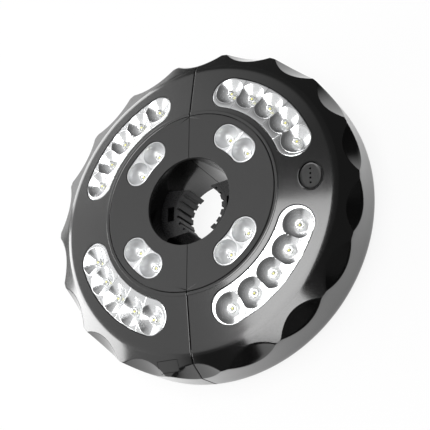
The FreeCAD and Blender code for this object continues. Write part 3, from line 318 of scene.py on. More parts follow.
def rim_profile(angles):
    """Radius and height of each row at each angle, from the face ring over the shoulder, the
    flutes and the rim to the base and up into the cover's recess."""
    turn = flute_turn(angles)
    edge = flute_edge(turn)
    ones = np.ones_like(angles)
    flat = np.array([(r, face_height(r)) for r in FACE_PATCH_END + np.arange(3)])
    end = FACE_BEND_END
    bend = eased((FACE_BEND_START, face_height(FACE_BEND_START)), (FACE_RADIUS, FACE_EDGE_HEIGHT),
                 (end, shoulder_height(end)), BEND_ROW - 2)
    out = [np.stack([r * ones, z * ones], axis=1) for r, z in (*flat, *bend)]
    # rows between the bend and a flute's edge, and rows from there to the rim
    inside = (0.2, 0.4, 0.6, 0.75, 0.86, 0.93, 0.97, 1.0)
    outside = (0.03, 0.07, 0.14, 0.26, 0.42, 0.6, 0.8, 1.0)
    radii = [end + (edge - end) * share for share in inside]
    radii += [edge + (BODY_RADIUS - edge) * share for share in outside]
    a = np.radians(angles)
    for radius in radii:
        out.append(np.stack([radius, skin_height(polar(radius, a))], axis=1))
    top = out[-1][:, 1].copy()
    # the rim's upper edge is eased by 0.3 mm between the floor's own slope and the upright rim
    back = 0.3
    slope = np.where(edge < BODY_RADIUS - 0.01, math.tan(FLUTE_SLOPE), SHOULDER_SLOPE)
    length = np.sqrt(1 + slope ** 2)
    first = np.stack([BODY_RADIUS - back / length, top + back * slope / length], axis=1)
    corner = np.stack([BODY_RADIUS * ones, top], axis=1)
    last = np.stack([BODY_RADIUS * ones, top - back], axis=1)
    for row in out[-len(outside):]:
        over = row[:, 0] > first[:, 0]
        row[over] = first[over]
    out += list(eased(first, corner, last, 5)[1:])
    down = BASE_ROUND - top + back
    for share in np.linspace(0, 1, 9)[1:]:
        out.append(np.stack([BODY_RADIUS * ones, (top - back) + down * share], axis=1))
    centre = BODY_RADIUS - BASE_ROUND
    for a in np.linspace(0, math.pi / 2, 12)[1:]:
        out.append(np.stack([(centre + BASE_ROUND * math.cos(a)) * ones,
                             (BASE_ROUND - BASE_ROUND * math.sin(a)) * ones], axis=1))
    out.append(np.stack([COVER_RADIUS * ones, 0 * ones], axis=1))
    out.append(np.stack([COVER_RADIUS * ones, COVER_THICK * ones], axis=1))
    return np.array(out)


def rim_surface(edge_round, hinge_side):
    """The rim profile set round one half, with its edges at the split eased along the normal."""
    angles, away = seam_columns(edge_round)
    rows = rim_profile(angles)
    radius, height = rows[..., 0], rows[..., 1]
    plain = np.radians(np.broadcast_to(angles, radius.shape))
    beside = np.broadcast_to(SEAM + away, radius.shape)
    side = np.broadcast_to(np.sign(angles), radius.shape)
    # beside the hinge the edge stands back, so that the halves can swing apart
    relief = HINGE_RELIEF * np.clip((radius - HINGE_RELIEF_START) / 0.5, 0, 1)
    beside = beside + np.where(side == hinge_side, relief, 0)
    bent = side * (math.pi / 2 - np.arcsin(np.nan_to_num(beside, nan=0.5) / radius))
    turn = np.where(np.isnan(beside), plain, bent)
    points = polar(radius, turn, height)
    down = np.gradient(points, axis=0)
    across = np.gradient(points, axis=1)
    normal = np.cross(across, down)
    normal[..., 0] = np.where(np.isnan(beside), normal[..., 0], 0)
    normal /= np.linalg.norm(normal, axis=2, keepdims=True) + 1e-12
    # a row of the face ring tells whether the normals point out or in
    outward = np.sign(np.sum(normal[5] * points[5] + normal[5] * [0, 0, 1e3], axis=1))
    normal *= np.where(outward.mean() > 0, 1, -1)
    points -= normal * np.broadcast_to(ease_depth(away, edge_round), radius.shape)[..., None]
    return points


def oval_point(across, along, up):
    """A point in the button's own frame: across runs outwards down the face ring's slope, along
    runs with Y and up stands square to the ring."""
    lean, rise = math.sin(RING_SLOPE), math.cos(RING_SLOPE)
    across, along, up = np.broadcast_arrays(across, along, up)
    return np.stack([BUTTON_X + across * rise + up * lean, BUTTON_Y + along,
                     face_height(BUTTON_X) - across * lean + up * rise], axis=-1)


def oval_loop(out, up, turns=None):
    """The button's oval grown by out: ((a + out) cos t, (b + out) sin t)."""
    t = np.radians(np.linspace(-45, 315, 161)[:-1]) if turns is None else turns
    return oval_point((BUTTON_HALF_WIDTH + out) * np.cos(t),
                      (BUTTON_HALF_LENGTH + out) * np.sin(t), up)


def button_sheets():
    """The button: a cap with round recesses, its eased edge, and the lip that holds it in."""
    sheets = Sheets()
    # points along a dot's box, distance between dots, depth of the cap's top, half the box's width
    side, step, top, wide = 12, DOT_PITCH, -0.1, 2.2

    def box_loop(high, low, counts):
        corners = np.array([(wide, low), (wide, high), (-wide, high), (-wide, low), (wide, low)])
        return np.concatenate([resample(corners[i:i + 2], n, False) for i, n in enumerate(counts)])

    turns = np.radians(np.linspace(-45, 315, 4 * side + 1)[:-1])
    ring = polar(1.0, turns)
    for number in range(DOTS):
        middle = (number - (DOTS - 1) / 2) * step
        box = box_loop(middle + step / 2, middle - step / 2, (side,) * 4)
        rows = [(ring * r + [0, middle], h)
                for r, h in ((0.02, -0.35), (0.3, -0.35), (DOT_RADIUS, -0.35), (DOT_RADIUS, -0.04),
                             (DOT_RADIUS + 0.05, 0.0))] + [(box, 0.0)]
        points = np.stack([oval_point(p[:, 0], p[:, 1], top + h) for p, h in rows])
        # the recesses take the second finish, a near-black painted shade
        sheets.grid(points[:4], wrap=True, flip=True, slot=1)
        sheets.grid(points[3:], wrap=True, flip=True)
    reach = DOTS * step / 2
    box = box_loop(reach, -reach, (DOTS * side, side, DOTS * side, side))
    t = np.arctan2(box[:, 1] / BUTTON_HALF_LENGTH, box[:, 0] / BUTTON_HALF_WIDTH)
    inner, edge = oval_point(box[:, 0], box[:, 1], top), oval_loop(-0.5, top, t)
    rows = [inner + share * (edge - inner) for share in (0, 0.3, 0.65, 1)]
    # the cap's eased edge and side, its neck, the flange under the shell and the foot
    profile = [(-0.25, -0.03), (-0.1, -0.11), (-0.02, -0.25), (0.0, -0.5), (0.0, -2.4),
               (-0.5, -2.4), (-0.5, -2.6), (1.4, -2.6), (1.4, -3.6), (-3.0, -3.6), (-6.7, -3.6)]
    rows += [oval_loop(out, up, t) for out, up in profile]
    sheets.grid(np.stack(rows), wrap=True, flip=True)
    return sheets


def latch_patch(sheets, rim):
    """Part of the shoulder's grid gives way to a patch round the latch button's opening.

    Returns the first and last column that the patch takes the place of."""
    angles, _ = seam_columns(1.0)
    first, last = np.searchsorted(angles, (LATCH_PATCH_LOW, LATCH_PATCH_HIGH))
    low, high = BEND_ROW, RIM_ROW
    outer = np.concatenate([rim[high, first:last], rim[high:low:-1, last],
                            rim[low, last:first:-1], rim[low:high, first]])[:, :2]
    x0, x1 = LATCH_X - LATCH_HALF - LATCH_GAP, LATCH_X + LATCH_HALF + LATCH_GAP
    y0, y1 = LATCH_NEAR - LATCH_GAP, LATCH_FAR + LATCH_GAP
    corners = np.array([(x1, y1), (x0, y1), (x0, y0), (x1, y0), (x1, y1)])
    count = (last - first, high - low) * 2
    inner = np.concatenate([resample(corners[i:i + 2], n, False) for i, n in enumerate(count)])
    patch = ring_patch(inner, outer, (0, 0.05, 0.2, 0.45, 0.7, 1), skin_height)
    sheets.grid(patch, wrap=True, flip=True, slot=1)
    sheets.grid(np.stack([patch[0], patch[0] - [0, 0, POCKET_WALL]]), wrap=True, slot=1)
    return first, last


def face_ring(sheets, edge_round, with_button):
    """The sloping ring with its two light pockets and, on one half, the button's hole."""
    def lift(plan):
        return face_height(np.hypot(plan[..., 0], plan[..., 1]))

    top, count = FACE_PATCH_END, (160, 40, 160, 40)
    away = EDGE_STEPS * edge_round
    strip = away[-1] + SEAM
    # angle from the middle of the half to its two pocketed sectors
    split = 9.5
    # the flat lip round the disc, which ends in a small step down to the slope
    lip = np.array([(RING_EDGE, RING_TOP - 0.3), (RING_EDGE + 0.1, RING_TOP - 0.1),
                    (RING_EDGE + 0.3, RING_TOP), (LIP_EDGE - 0.25, RING_TOP),
                    (LIP_EDGE - 0.08, RING_TOP - 0.08), (LIP_EDGE, RING_TOP - 0.25),
                    (LIP_EDGE, face_height(LIP_EDGE))])
    reach = np.arccos(strip / lip[:, :1]) * np.linspace(-1, 1, 300)
    sheets.grid(polar(lip[:, :1], reach, lip[:, 1:]), flip=True)
    for side in (-1, 1):
        low, high = (split, 90) if side > 0 else (-90, -split)
        edges = (None, strip) if side > 0 else (strip, None)
        inner = arc_slot(OUTER_RING, OUTER_HALF_WIDTH, OUTER_HALF_ANGLE, side * GROUP_ANGLE, count)
        outer = sector_box(LIP_EDGE, top, low, high, count, *edges)
        patch = ring_patch(inner, outer, (0, 0.02, 0.06, 0.14, 0.3, 0.5, 0.75, 1), lift)
        sheets.grid(patch, wrap=True, flip=True)
        wall = np.stack([patch[0], patch[0] - [0, 0, 1.2], patch[0] - [0, 0, POCKET_WALL]])
        sheets.grid(wall, wrap=True)
        # strip beside the split, with its eased edge
        radii = np.r_[lip[:, 0], np.linspace(LIP_EDGE, top, 30)[1:]]
        x = np.broadcast_to(SEAM + away, (len(radii), len(away)))
        y = side * np.sqrt(radii[:, None] ** 2 - x ** 2)
        z = np.r_[lip[:, 1], face_height(radii[len(lip):])][:, None] - ease_depth(away, edge_round)
        sheets.grid(np.stack([x, y, np.broadcast_to(z, x.shape)], axis=2), flip=side > 0)
    if with_button:
        count = (40, 40, 40, 40)
        outer = sector_box(LIP_EDGE, top, -split, split, count)
        foot = oval_loop(BUTTON_GAP + 0.8, 0.0)
        patch = ring_patch(foot[:, :2], outer, (0, 0.03, 0.1, 0.3, 0.6, 1), lift)
        sheets.grid(patch, wrap=True, flip=True)
        # the raised bead round the button, then the hole's wall
        bead = [(0.72, 0.12), (0.6, 0.26), (0.45, 0.34), (0.3, 0.35), (0.15, 0.3), (0.05, 0.18),
                (0.0, 0.0), (0.0, -3.0)]
        rows = [patch[0]] + [oval_loop(BUTTON_GAP + out, up) for out, up in bead]
        sheets.grid(np.stack(rows), wrap=True)
    else:
        radii = np.linspace(LIP_EDGE, top, 12)
        slope = np.stack([radii, face_height(radii)], axis=1)
        sheets.grid(swept(slope, np.linspace(-split, split, 40)), flip=True)
    # the groove's wall round the disc
    drop = np.array([(RING_EDGE, RING_TOP - 0.3), (RING_EDGE, PLATE_SEAT)])
    sheets.grid(swept(drop, np.linspace(-89.8, 89.8, 240)))


def pole_hole(sheets):
    """The pole hole's wall, a slight cone, with the square window that the jaw comes through."""
    def lift(plan):
        return plan[..., 1]

    def wrapped(plan):
        angle, z = np.radians(plan[..., 0]), plan[..., 1]
        radius = HOLE_BACK + (HOLE_FRONT - HOLE_BACK) * z / BODY_HEIGHT
        return polar(radius, angle, z)

    def box(a, z0, z1):
        corners = np.array([(-a, z1), (a, z1), (a, z0), (-a, z0), (-a, z1)])
        return np.concatenate([resample(corners[i:i + 2], 40, False) for i in range(4)])

    inner = box(JAW_WINDOW_HALF_ANGLE, JAW_WINDOW_LOW, JAW_WINDOW_HIGH)
    outer = box(89.6, 0.0, PLATE_SEAT)
    plan = ring_patch(inner, outer, np.linspace(0, 1, 12), lift)[..., :2]
    sheets.grid(wrapped(plan), wrap=True)
    # the window's edges through the wall
    through = wrapped(inner)
    sheets.grid(np.stack([through, through * [HOLE_WALL, 1.0, 1.0]]), wrap=True, flip=True)


# ------------------------------------------------------------------ colours and materials
def linear(text):
    """An sRGB hex colour as linear RGBA."""
    value = np.array([int(text[i:i + 2], 16) / 255 for i in (1, 3, 5)])
    value = np.where(value <= 0.04045, value / 12.92, ((value + 0.055) / 1.055) ** 2.4)
    return (*value.tolist(), 1.0)


def add(tree, kind, settings=None, **links):
    """Adds a shader node of the kind named. Settings go to sockets by name or number, or to the
    node's own property if it has no such socket. A link's name is its socket, with _ for a space
    or before a number, and its value a node or (node, output)."""
    node = tree.nodes.new("ShaderNode" + kind)
    for name, value in (settings or {}).items():
        if isinstance(name, int) or name in node.inputs:
            node.inputs[name].default_value = value
        else:
            setattr(node, name, value)
    for name, source in links.items():
        source, output = source if isinstance(source, tuple) else (source, 0)
        socket = int(name[1:]) if name[0] == "_" else name.replace("_", " ")
        tree.links.new(source.outputs[output], node.inputs[socket])
    return node


def new_material(name):
    """An empty material, its node tree and the object's own coordinates in it."""
    material = bpy.data.materials.new(name)
    material.use_nodes = True
    tree = material.node_tree
    tree.nodes.clear()
    return material, tree, (add(tree, "TexCoord"), "Object")


def between(tree, dark, light, share):
    """The link of a colour that lies between two shades."""
    mix = add(tree, "Mix", {"data_type": "RGBA", 6: linear(dark), 7: linear(light)}, _0=share)
    return mix, 2


def ranged(tree, value, start, end, low=0.0, high=1.0):
    """A value's range from start to end spread over low to high, and held there beyond it."""
    return add(tree, "MapRange", {"From Min": start, "From Max": end, "To Min": low,
                                  "To Max": high}, Value=value)


def fed(tree, kind, *sockets, **settings):
    """Adds a node whose first sockets take, in order, a plain number or a link's value."""
    settings.update({i: value for i, value in enumerate(sockets) if isinstance(value, float)})
    links = {"_%d" % i: value for i, value in enumerate(sockets) if not isinstance(value, float)}
    return add(tree, kind, settings, **links)


def grained(name, shades, clouds, fine, gloss, depth, settings, stretch=(1.0, 1.0, 1.0)):
    """Two near shades in soft clouds under a fine grain, which moves the gloss between two values
    and raises the surface by a depth in mm. Clouds and fine are settings of the noise."""
    material, tree, place = new_material(name)
    along = add(tree, "Mapping", {"Scale": stretch}, Vector=place)
    soft = add(tree, "TexNoise", clouds, Vector=place)
    marks = add(tree, "TexNoise", fine, Vector=along)
    rough = ranged(tree, marks, 0.3, 0.7, *gloss)
    bump = add(tree, "Bump", {"Strength": 1.0, "Distance": depth * MM}, Height=marks)
    shader = add(tree, "BsdfPrincipled", settings, Base_Color=between(tree, *shades, soft),
                 Roughness=rough, Normal=bump)
    add(tree, "OutputMaterial", Surface=shader)
    return material


def plastic(name, dark, light, roughness, grain, depth, speck=0.0, coat=0.0, ior=1.5):
    """Moulded plastic, with a grain of the given size in mm that the mould's surface leaves."""
    gloss = max(roughness - 0.04, 0.02), roughness + 0.04 + speck
    return grained(name, (dark, light), {"Scale": 45.0, "Detail": 3.0},
                   {"Scale": 1 / (grain * MM), "Detail": 2.0, "Roughness": 0.6}, gloss, depth,
                   {"IOR": ior, "Coat Weight": coat, "Coat Roughness": 0.1})


def metal(name, dark, light, roughness, grain, depth, stretch=(1.0, 1.0, 1.0)):
    """Bare or plated metal with fine drawn or cast marks."""
    return grained(name, (dark, light), {"Scale": 120.0, "Detail": 2.0},
                   {"Scale": 1 / (grain * MM), "Detail": 2.0}, (roughness * 0.75, roughness * 1.25),
                   depth, {"Metallic": 1.0}, stretch)


def coated_cup(name, shade, roughness, top, slope, shallow, deep):
    """Aluminium evaporated on a moulded cup: a mirror at the rim that turns milky towards the
    lamp, where the coat is thin. Depth under the face = top - slope x (radius - edge) - z."""
    material, tree, place = new_material(name)
    flat = add(tree, "VectorMath", {"operation": "MULTIPLY", 1: (1.0, 1.0, 0.0)}, _0=place)
    radius = add(tree, "VectorMath", {"operation": "LENGTH"}, _0=flat)
    height = add(tree, "SeparateXYZ", _0=place)
    fall = fed(tree, "Math", (radius, "Value"), -slope, (top + slope * RING_EDGE) * MM,
               operation="MULTIPLY_ADD")
    depth = fed(tree, "Math", fall, (height, "Z"), operation="SUBTRACT")
    share = ranged(tree, depth, shallow * MM, deep * MM, 0.97, 0.45)
    grain = add(tree, "TexNoise", {"Scale": 400.0, "Detail": 1.0}, Vector=place)
    gloss = ranged(tree, grain, 0.0, 1.0, roughness * 0.9, roughness * 1.1)
    shader = add(tree, "BsdfPrincipled", {"Base Color": linear(shade)}, Metallic=share,
                 Roughness=gloss)
    add(tree, "OutputMaterial", Surface=shader)
    return material


def cast_resin(name, dark, light, scale, detail, settings):
    """Cast resin with a trace of cloud, which also tints a painted glow where one is given."""
    material, tree, place = new_material(name)
    cloud = add(tree, "TexNoise", {"Scale": scale, "Detail": detail}, Vector=place)
    shade = between(tree, dark, light, cloud)
    # a given emission strength makes a painted glow in the resin's own tint
    glow = {"Emission_Color": shade} if "Emission Strength" in settings else {}
    shader = add(tree, "BsdfPrincipled", settings, Base_Color=shade, **glow)
    add(tree, "OutputMaterial", Surface=shader)
    return material


MATERIALS = {}


def make_materials():
    """Fills the table of finishes that the pieces are given."""
    MATERIALS.update({
        # ABS from a polished mould: deep black with a sharp gloss
        "rim": plastic("polished_black_abs", "#030303", "#050505", 0.12, 0.9, 0.0008, coat=1.0,
                       ior=1.54),
        # the same ABS where the mould is lightly blasted: semi-gloss, so it looks greyer
        "face": plastic("fine_black_abs", "#0D0D0D", "#101010", 0.2, 0.6, 0.001, coat=1.0,
                        ior=1.54),
        # ABS from a spark-eroded mould: fine even grain that scatters the light to a flat grey
        "plate": plastic("spark_eroded_abs", "#272727", "#2B2B2B", 0.6, 0.45, 0.006, speck=0.06),
        # nylon with glass fibres: black with a broad, slightly broken gloss
        "jaw": plastic("glass_filled_nylon", "#0C0C0D", "#121213", 0.26, 0.6, 0.004, speck=0.05),
        # rubber: dark grey, with highlights that stay soft along the ribs
        "pad": plastic("moulded_rubber", "#141415", "#1A1A1B", 0.36, 0.4, 0.006, speck=0.08),
        # ABS rubbed a little by fingers: a satin grey cap on the black face
        "button": plastic("button_abs", "#181818", "#1C1C1C", 0.35, 0.5, 0.002, coat=0.4),
        # plain nylon: even and dull, as on small bought-in parts
        "switch": plastic("black_nylon_switch", "#17181A", "#222326", 0.4, 0.3, 0.004),
        # ABS with a coarse texture: the back's fine glitter and low gloss
        "cover": plastic("cover_abs", "#161617", "#1C1C1D", 0.38, 0.5, 0.012, speck=0.05),
        # acetal: waxy, smoother and glossier than the covers
        "hook": plastic("acetal_hook", "#131314", "#1A1A1B", 0.3, 0.6, 0.004),
        # solder mask: slightly wet-looking white under the lamps
        "board": plastic("white_solder_mask", "#E4E6E2", "#F0F1EE", 0.35, 0.6, 0.003),
        # PVC: black with a soft line of light along each wire
        "wire": plastic("pvc_insulation", "#0F0F10", "#1C1C1D", 0.35, 0.5, 0.004),
        # shrunk film round the cells: blue-grey, glossy and a little uneven
        "cell": plastic("shrink_sleeve", "#2B3036", "#3A4148", 0.22, 2.0, 0.006, coat=0.3),
        # the button's recesses: painted shade, almost black with almost no gloss, so that the dots
        # read dark
        "dot": plastic("dot_recess_painted_shade", "#030303", "#050505", 0.5, 0.3, 0.003, ior=1.08),
        # polystyrene with aluminium evaporated on it: a bright mirror, a little uneven
        "mirror": coated_cup("evaporated_aluminium", "#E6E7E8", 0.2, RING_TOP,
                             math.tan(RING_SLOPE), 1.2, 4.2),
        # the same coat on a satin mould: pale bowls that blur what they mirror
        "bowl": coated_cup("satin_evaporated_aluminium", "#DEDFE0", 0.36, BODY_HEIGHT, 0.0,
                           1.8, 6.5),
        # zinc plating: pale grey with a cloudy, half-sharp shine
        "steel": metal("zinc_plated_steel", "#A9ABAD", "#C3C4C5", 0.28, 0.5, 0.004),
        # ground bar: bright, with marks drawn out along the pin
        "pin": metal("ground_steel", "#B4B5B6", "#C8C9CA", 0.2, 0.3, 0.002, (1.0, 1.0, 0.1)),
        # nickel plating: a shade warmer and softer than the zinc
        "contact": metal("nickel_plated_strip", "#B9B7B0", "#D0CEC8", 0.25, 0.6, 0.003),
        # clear epoxy, IOR 1.5: glassy domes with sharp highlights
        "lens": cast_resin("clear_epoxy", "#F6F9FA", "#FFFFFF", 900.0, 1.0,
                           {"Roughness": 0.02, "IOR": 1.5, "Transmission Weight": 0.86}),
        # phosphor in silicone: a soft, grainy and slightly waxy yellow in each dome, with a painted
        # glow (emission 0.9) that makes the chips look lit
        "chip": cast_resin("yellow_phosphor_painted_glow", "#F4E62E", "#FBF36A", 6000.0, 2.0,
                           {"Roughness": 0.45, "Emission Strength": 0.9}),
    })


def finish_piece(thing, body, slot, *replaced):
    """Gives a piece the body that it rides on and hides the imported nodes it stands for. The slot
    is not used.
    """
    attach(thing, body)
    if replaced:
        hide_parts(*replaced)
    return thing


# ------------------------------------------------------------------ pieces
def carcass(half, sign):
    """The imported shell's own walls, ribs and bosses, without the outer skin that is made anew."""
    mesh = NODES[half + "_front_shell"].data.copy()
    tidy = bmesh.new()
    tidy.from_mesh(mesh)
    bmesh.ops.remove_doubles(tidy, verts=tidy.verts, dist=1e-7)
    tidy.faces.ensure_lookup_table()
    centres = np.array([f.calc_center_median() for f in tidy.faces]) / MM * [sign, sign, 1]
    normals = np.array([f.normal for f in tidy.faces]) * [sign, sign, 1]
    x, y, z = centres.T
    radius, up = np.hypot(x, y), normals[:, 2]
    radial = (normals[:, 0] * x + normals[:, 1] * y) / radius
    ring = (radius > RING_EDGE + 0.1) & (up > 0.85) & (np.abs(z - face_height(radius)) < 0.4)
    shoulder = (radius > FACE_RADIUS - 1) & (z > 24) & ((radial > 0.3) | (up > 0.3))
    rim = (radius > BODY_RADIUS - 0.6) & (radial > 0.7)
    base = (radius > COVER_RADIUS - 0.3) & (z < BASE_ROUND + 0.1) & ((up < -0.2) | (radial > 0.3))
    hole = (radius < HOLE_FRONT + 0.5) & (radial < -0.7)
    pocket = (radius > RING_EDGE + 1) & (radius < FACE_PATCH_END) & (z > BOARD_TOP + 3)
    pocket &= np.abs(up) < 0.3
    # the end walls at the split and the hinge's knuckles stay
    end_wall = (np.abs(normals[:, 0]) > 0.999) & (x < 3)
    knuckle = (np.abs(x) < 8) & (np.hypot(x, np.abs(y) - HINGE_PIN_Y) < 8) & (z < 28)
    skin = (ring | shoulder | rim | base | hole | pocket) & ~end_wall
    skin &= ~(knuckle & (sign * y > 0))
    bmesh.ops.delete(tidy, geom=[tidy.faces[i] for i in np.nonzero(skin)[0]], context="FACES")
    tidy.to_mesh(mesh)
    tidy.free()
    coated(mesh, "rim")
    mesh.polygons.foreach_set("material_index", np.zeros(len(mesh.polygons), np.int32))
    mesh.polygons.foreach_set("use_smooth", np.zeros(len(mesh.polygons), bool))
    return linked(half + "_shell_walls", mesh)


def cup_sheets(ring, middle, half_angle, count, slot_size, rim, profile, top, tilt):
    """A reflector insert. Round each light is a polar grid: its rows go up the cup's profile to
    the rim or to the crest shared with the next cup, then flat to the insert's outline."""
    slot_ring, half_width, slot_half = slot_size
    sheets = Sheets()
    angles = middle + np.linspace(-half_angle, half_angle, count)
    turns = np.radians(np.linspace(0, 360, 145)[:-1])
    for number, angle in enumerate(angles):
        a = math.radians(angle)
        out, side = np.array([math.cos(a), math.sin(a)]), np.array([-math.sin(a), math.cos(a)])
        centre = ring * out
        ways = np.cos(turns)[:, None] * out + np.sin(turns)[:, None] * side

        def inside(distance):
            plan = centre + distance[:, None] * ways
            radius = np.hypot(plan[:, 0], plan[:, 1])
            turn = np.degrees(np.arctan2(plan[:, 1], plan[:, 0]))
            turn = (turn - middle + 180) % 360 - 180
            near = polar(slot_ring, np.radians(np.clip(turn, -slot_half, slot_half) + middle))
            ok = np.where(np.abs(turn) <= slot_half, np.abs(radius - slot_ring),
                          np.linalg.norm(plan - near, axis=1)) <= half_width
            for other in (number - 1, number + 1):
                if 0 <= other < count:
                    line = math.radians((angle + angles[other]) / 2)
                    across = plan[:, 0] * -math.sin(line) + plan[:, 1] * math.cos(line)
                    ok &= across * np.sign(other - number) <= 0
            return ok

        limit, high = np.zeros(len(turns)), np.full(len(turns), 30.0)
        for _ in range(30):
            half_way = (limit + high) / 2
            good = inside(half_way)
            limit, high = np.where(good, half_way, limit), np.where(good, high, half_way)
        reach = np.minimum(rim, limit)
        flat = limit - reach > 1e-3
        rows = []
        for share in np.r_[0, 0.03, np.linspace(0.1, 1, 14)]:
            distance = CUP_FOOT + (reach - CUP_FOOT) * share
            rows.append((distance, profile(distance)))
        # a rounded lip, then the flat with its eased outer edge
        for step, drop in ((0.25, 0.06), (0.6, 0.0)):
            distance = np.minimum(reach + step * np.clip((limit - reach) * 2, 0, 1), limit)
            rows.append((distance, np.where(flat, -drop, profile(np.minimum(distance, rim)))))
        rows.append((np.where(flat, limit - 0.35, limit), np.where(flat, 0, profile(reach))))
        rows.append((limit, np.where(flat, -0.12, profile(reach))))
        points = []
        for distance, height in rows:
            u, v = distance * np.cos(turns), distance * np.sin(turns)
            # the cup stands square to the face: tip the local plane outwards
            r = u * math.cos(tilt) + height * math.sin(tilt)
            z = -u * math.sin(tilt) + height * math.cos(tilt)
            plan = centre + r[:, None] * out + v[:, None] * side
            points.append(np.concatenate([plan, (top + z)[:, None]], axis=1))
        points = np.array(points)
        sheets.grid(points, wrap=True)
        well, skirt = points[0].copy(), points[-1].copy()
        well[:, 2] = BOARD_TOP + BOARD_CLEAR
        sheets.grid(np.stack([well, points[0]]), wrap=True)
        skirt[flat, 2] = BOARD_TOP + BOARD_CLEAR
        sheets.grid(np.stack([points[-1], skirt]), wrap=True)
    return sheets


def dome_sheets(places):
    """Clear lamps: a flange, a short column and a hemisphere, turned about each lamp's axis."""
    radius, flange, body = 2.4, 2.6, 1.3
    profile = [(0.0, 0.46), (1.2, 0.46), (flange, 0.02), (flange, 0.5), (radius + 0.05, 0.6),
               (radius, 0.75), (radius, body)]
    profile += [(radius * math.cos(t), body + radius * math.sin(t))
                for t in np.radians(np.linspace(0, 90, 11))[1:]]
    ring = swept(profile, np.linspace(0, 360, 33)[:-1])
    sheets = Sheets()
    for x, y in places:
        sheets.grid(ring + [x, y, BOARD_TOP], wrap=True, flip=True)
    return sheets


def light_places():
    """Plan points of one half's 14 lamps: in each group five outer and two inner ones."""
    rings = ((CUP_RING - CUP_DEPTH * math.sin(RING_SLOPE), OUTER_HALF_ANGLE, 5),
             (INNER_RING, INNER_HALF_ANGLE, 2))
    return [place for middle in (-GROUP_ANGLE, GROUP_ANGLE) for radius, reach, count in rings
            for place in plan_arc(radius, middle - reach, middle + reach, count).tolist()]


def plate_sheets():
    """The matt disc's half: top with its two pockets, the eased hole edge and the outer edge."""
    top, hole, outer_edge = BODY_HEIGHT, HOLE_FRONT + 0.35, DISC_RADIUS - 0.5
    sheets = Sheets()
    count = (120, 40, 80, 40)
    for side in (-1, 1):
        low, high = (0, 90) if side > 0 else (-90, 0)
        edges = (None, SEAM) if side > 0 else (SEAM, None)
        inner = arc_slot(INNER_RING, INNER_HALF_WIDTH, INNER_HALF_ANGLE, side * GROUP_ANGLE, count)
        outer = sector_box(hole, outer_edge, low, high, count, *edges)
        patch = ring_patch(inner, outer, (0, 0.03, 0.12, 0.4, 0.7, 1),
                           lambda plan: np.full(plan.shape[:-1], top))
        sheets.grid(patch, wrap=True, flip=True)
        sheets.grid(np.stack([patch[0], patch[0] - [0, 0, POCKET_WALL]]), wrap=True)
    angles = np.linspace(-89.75, 89.75, 360)
    sheets.grid(swept([(HOLE_FRONT - 0.045, PLATE_SEAT), (HOLE_FRONT, top - 0.35),
                       (HOLE_FRONT + 0.1, top - 0.1), (hole, top)], angles), flip=True)
    edge = eased((outer_edge, top), (DISC_RADIUS, top), (DISC_RADIUS, top - 0.5), 6)
    sheets.grid(swept([*map(tuple, edge), (DISC_RADIUS, PLATE_SEAT)], angles), flip=True)
    for side in (-1, 1):
        wall = np.array([[(SEAM, side * r, z) for r in (HOLE_FRONT, outer_edge)]
                         for z in (top, PLATE_SEAT)])
        sheets.grid(wall, flip=side < 0)
    return sheets


class LampLook(bpy.types.PropertyGroup):
    """Sizes of the lamp's finishing details."""

    seam_round: FloatProperty(name="Seam rounding", unit="LENGTH", default=0.5 * MM, min=0.0001,
                              description="Radius of the eased edges along the split")
    light_level: FloatProperty(name="Light level", default=1.0, min=0.0,
                               description="Strength of the studio lamps")
    floor_colour: FloatVectorProperty(name="Floor", subtype="COLOR", size=3,
                                      default=(0.9, 0.9, 0.9),
                                      description="Colour of the studio floor")


class LAMP_OT_shells(bpy.types.Operator):
    """Makes the front shells: face ring, fluted rim and pole hole"""

    bl_idname = "lamp.shells"
    bl_label = "Front shells"

    def execute(self, context):
        edge_round = context.scene.lamp_look.seam_round / MM
        for half, sign in HALVES.items():
            sheets = Sheets()
            rim = rim_surface(edge_round, sign)
            sheets.grid(rim[:BEND_ROW + 1], flip=True)
            if half == "left":
                first, last = latch_patch(sheets, rim)
                shoulder = rim[BEND_ROW:RIM_ROW + 1]
                for part in (shoulder[:, :first + 1], shoulder[:, last:], rim[RIM_ROW:]):
                    sheets.grid(part, flip=True, slot=1)
            else:
                sheets.grid(rim[BEND_ROW:], flip=True, slot=1)
            face_ring(sheets, edge_round, half == "right")
            pole_hole(sheets)
            shell = sheets.piece(half + "_shell_skin", [MATERIALS["face"], MATERIALS["rim"]], sign)
            finish_piece(shell, half + "_half", "shell", half + "_front_shell")
            finish_piece(carcass(half, sign), half + "_half", "shell", half + "_front_shell")
        return {"FINISHED"}


class LAMP_OT_plates(bpy.types.Operator):
    """Makes the matt inner disc's two halves"""

    bl_idname = "lamp.plates"
    bl_label = "Face plates"

    def execute(self, context):
        for half, sign in HALVES.items():
            plate = plate_sheets().piece(half + "_disc_plate", [MATERIALS["plate"]], sign)
            finish_piece(plate, half + "_half", "face_plate", half + "_face_plate")
        return {"FINISHED"}


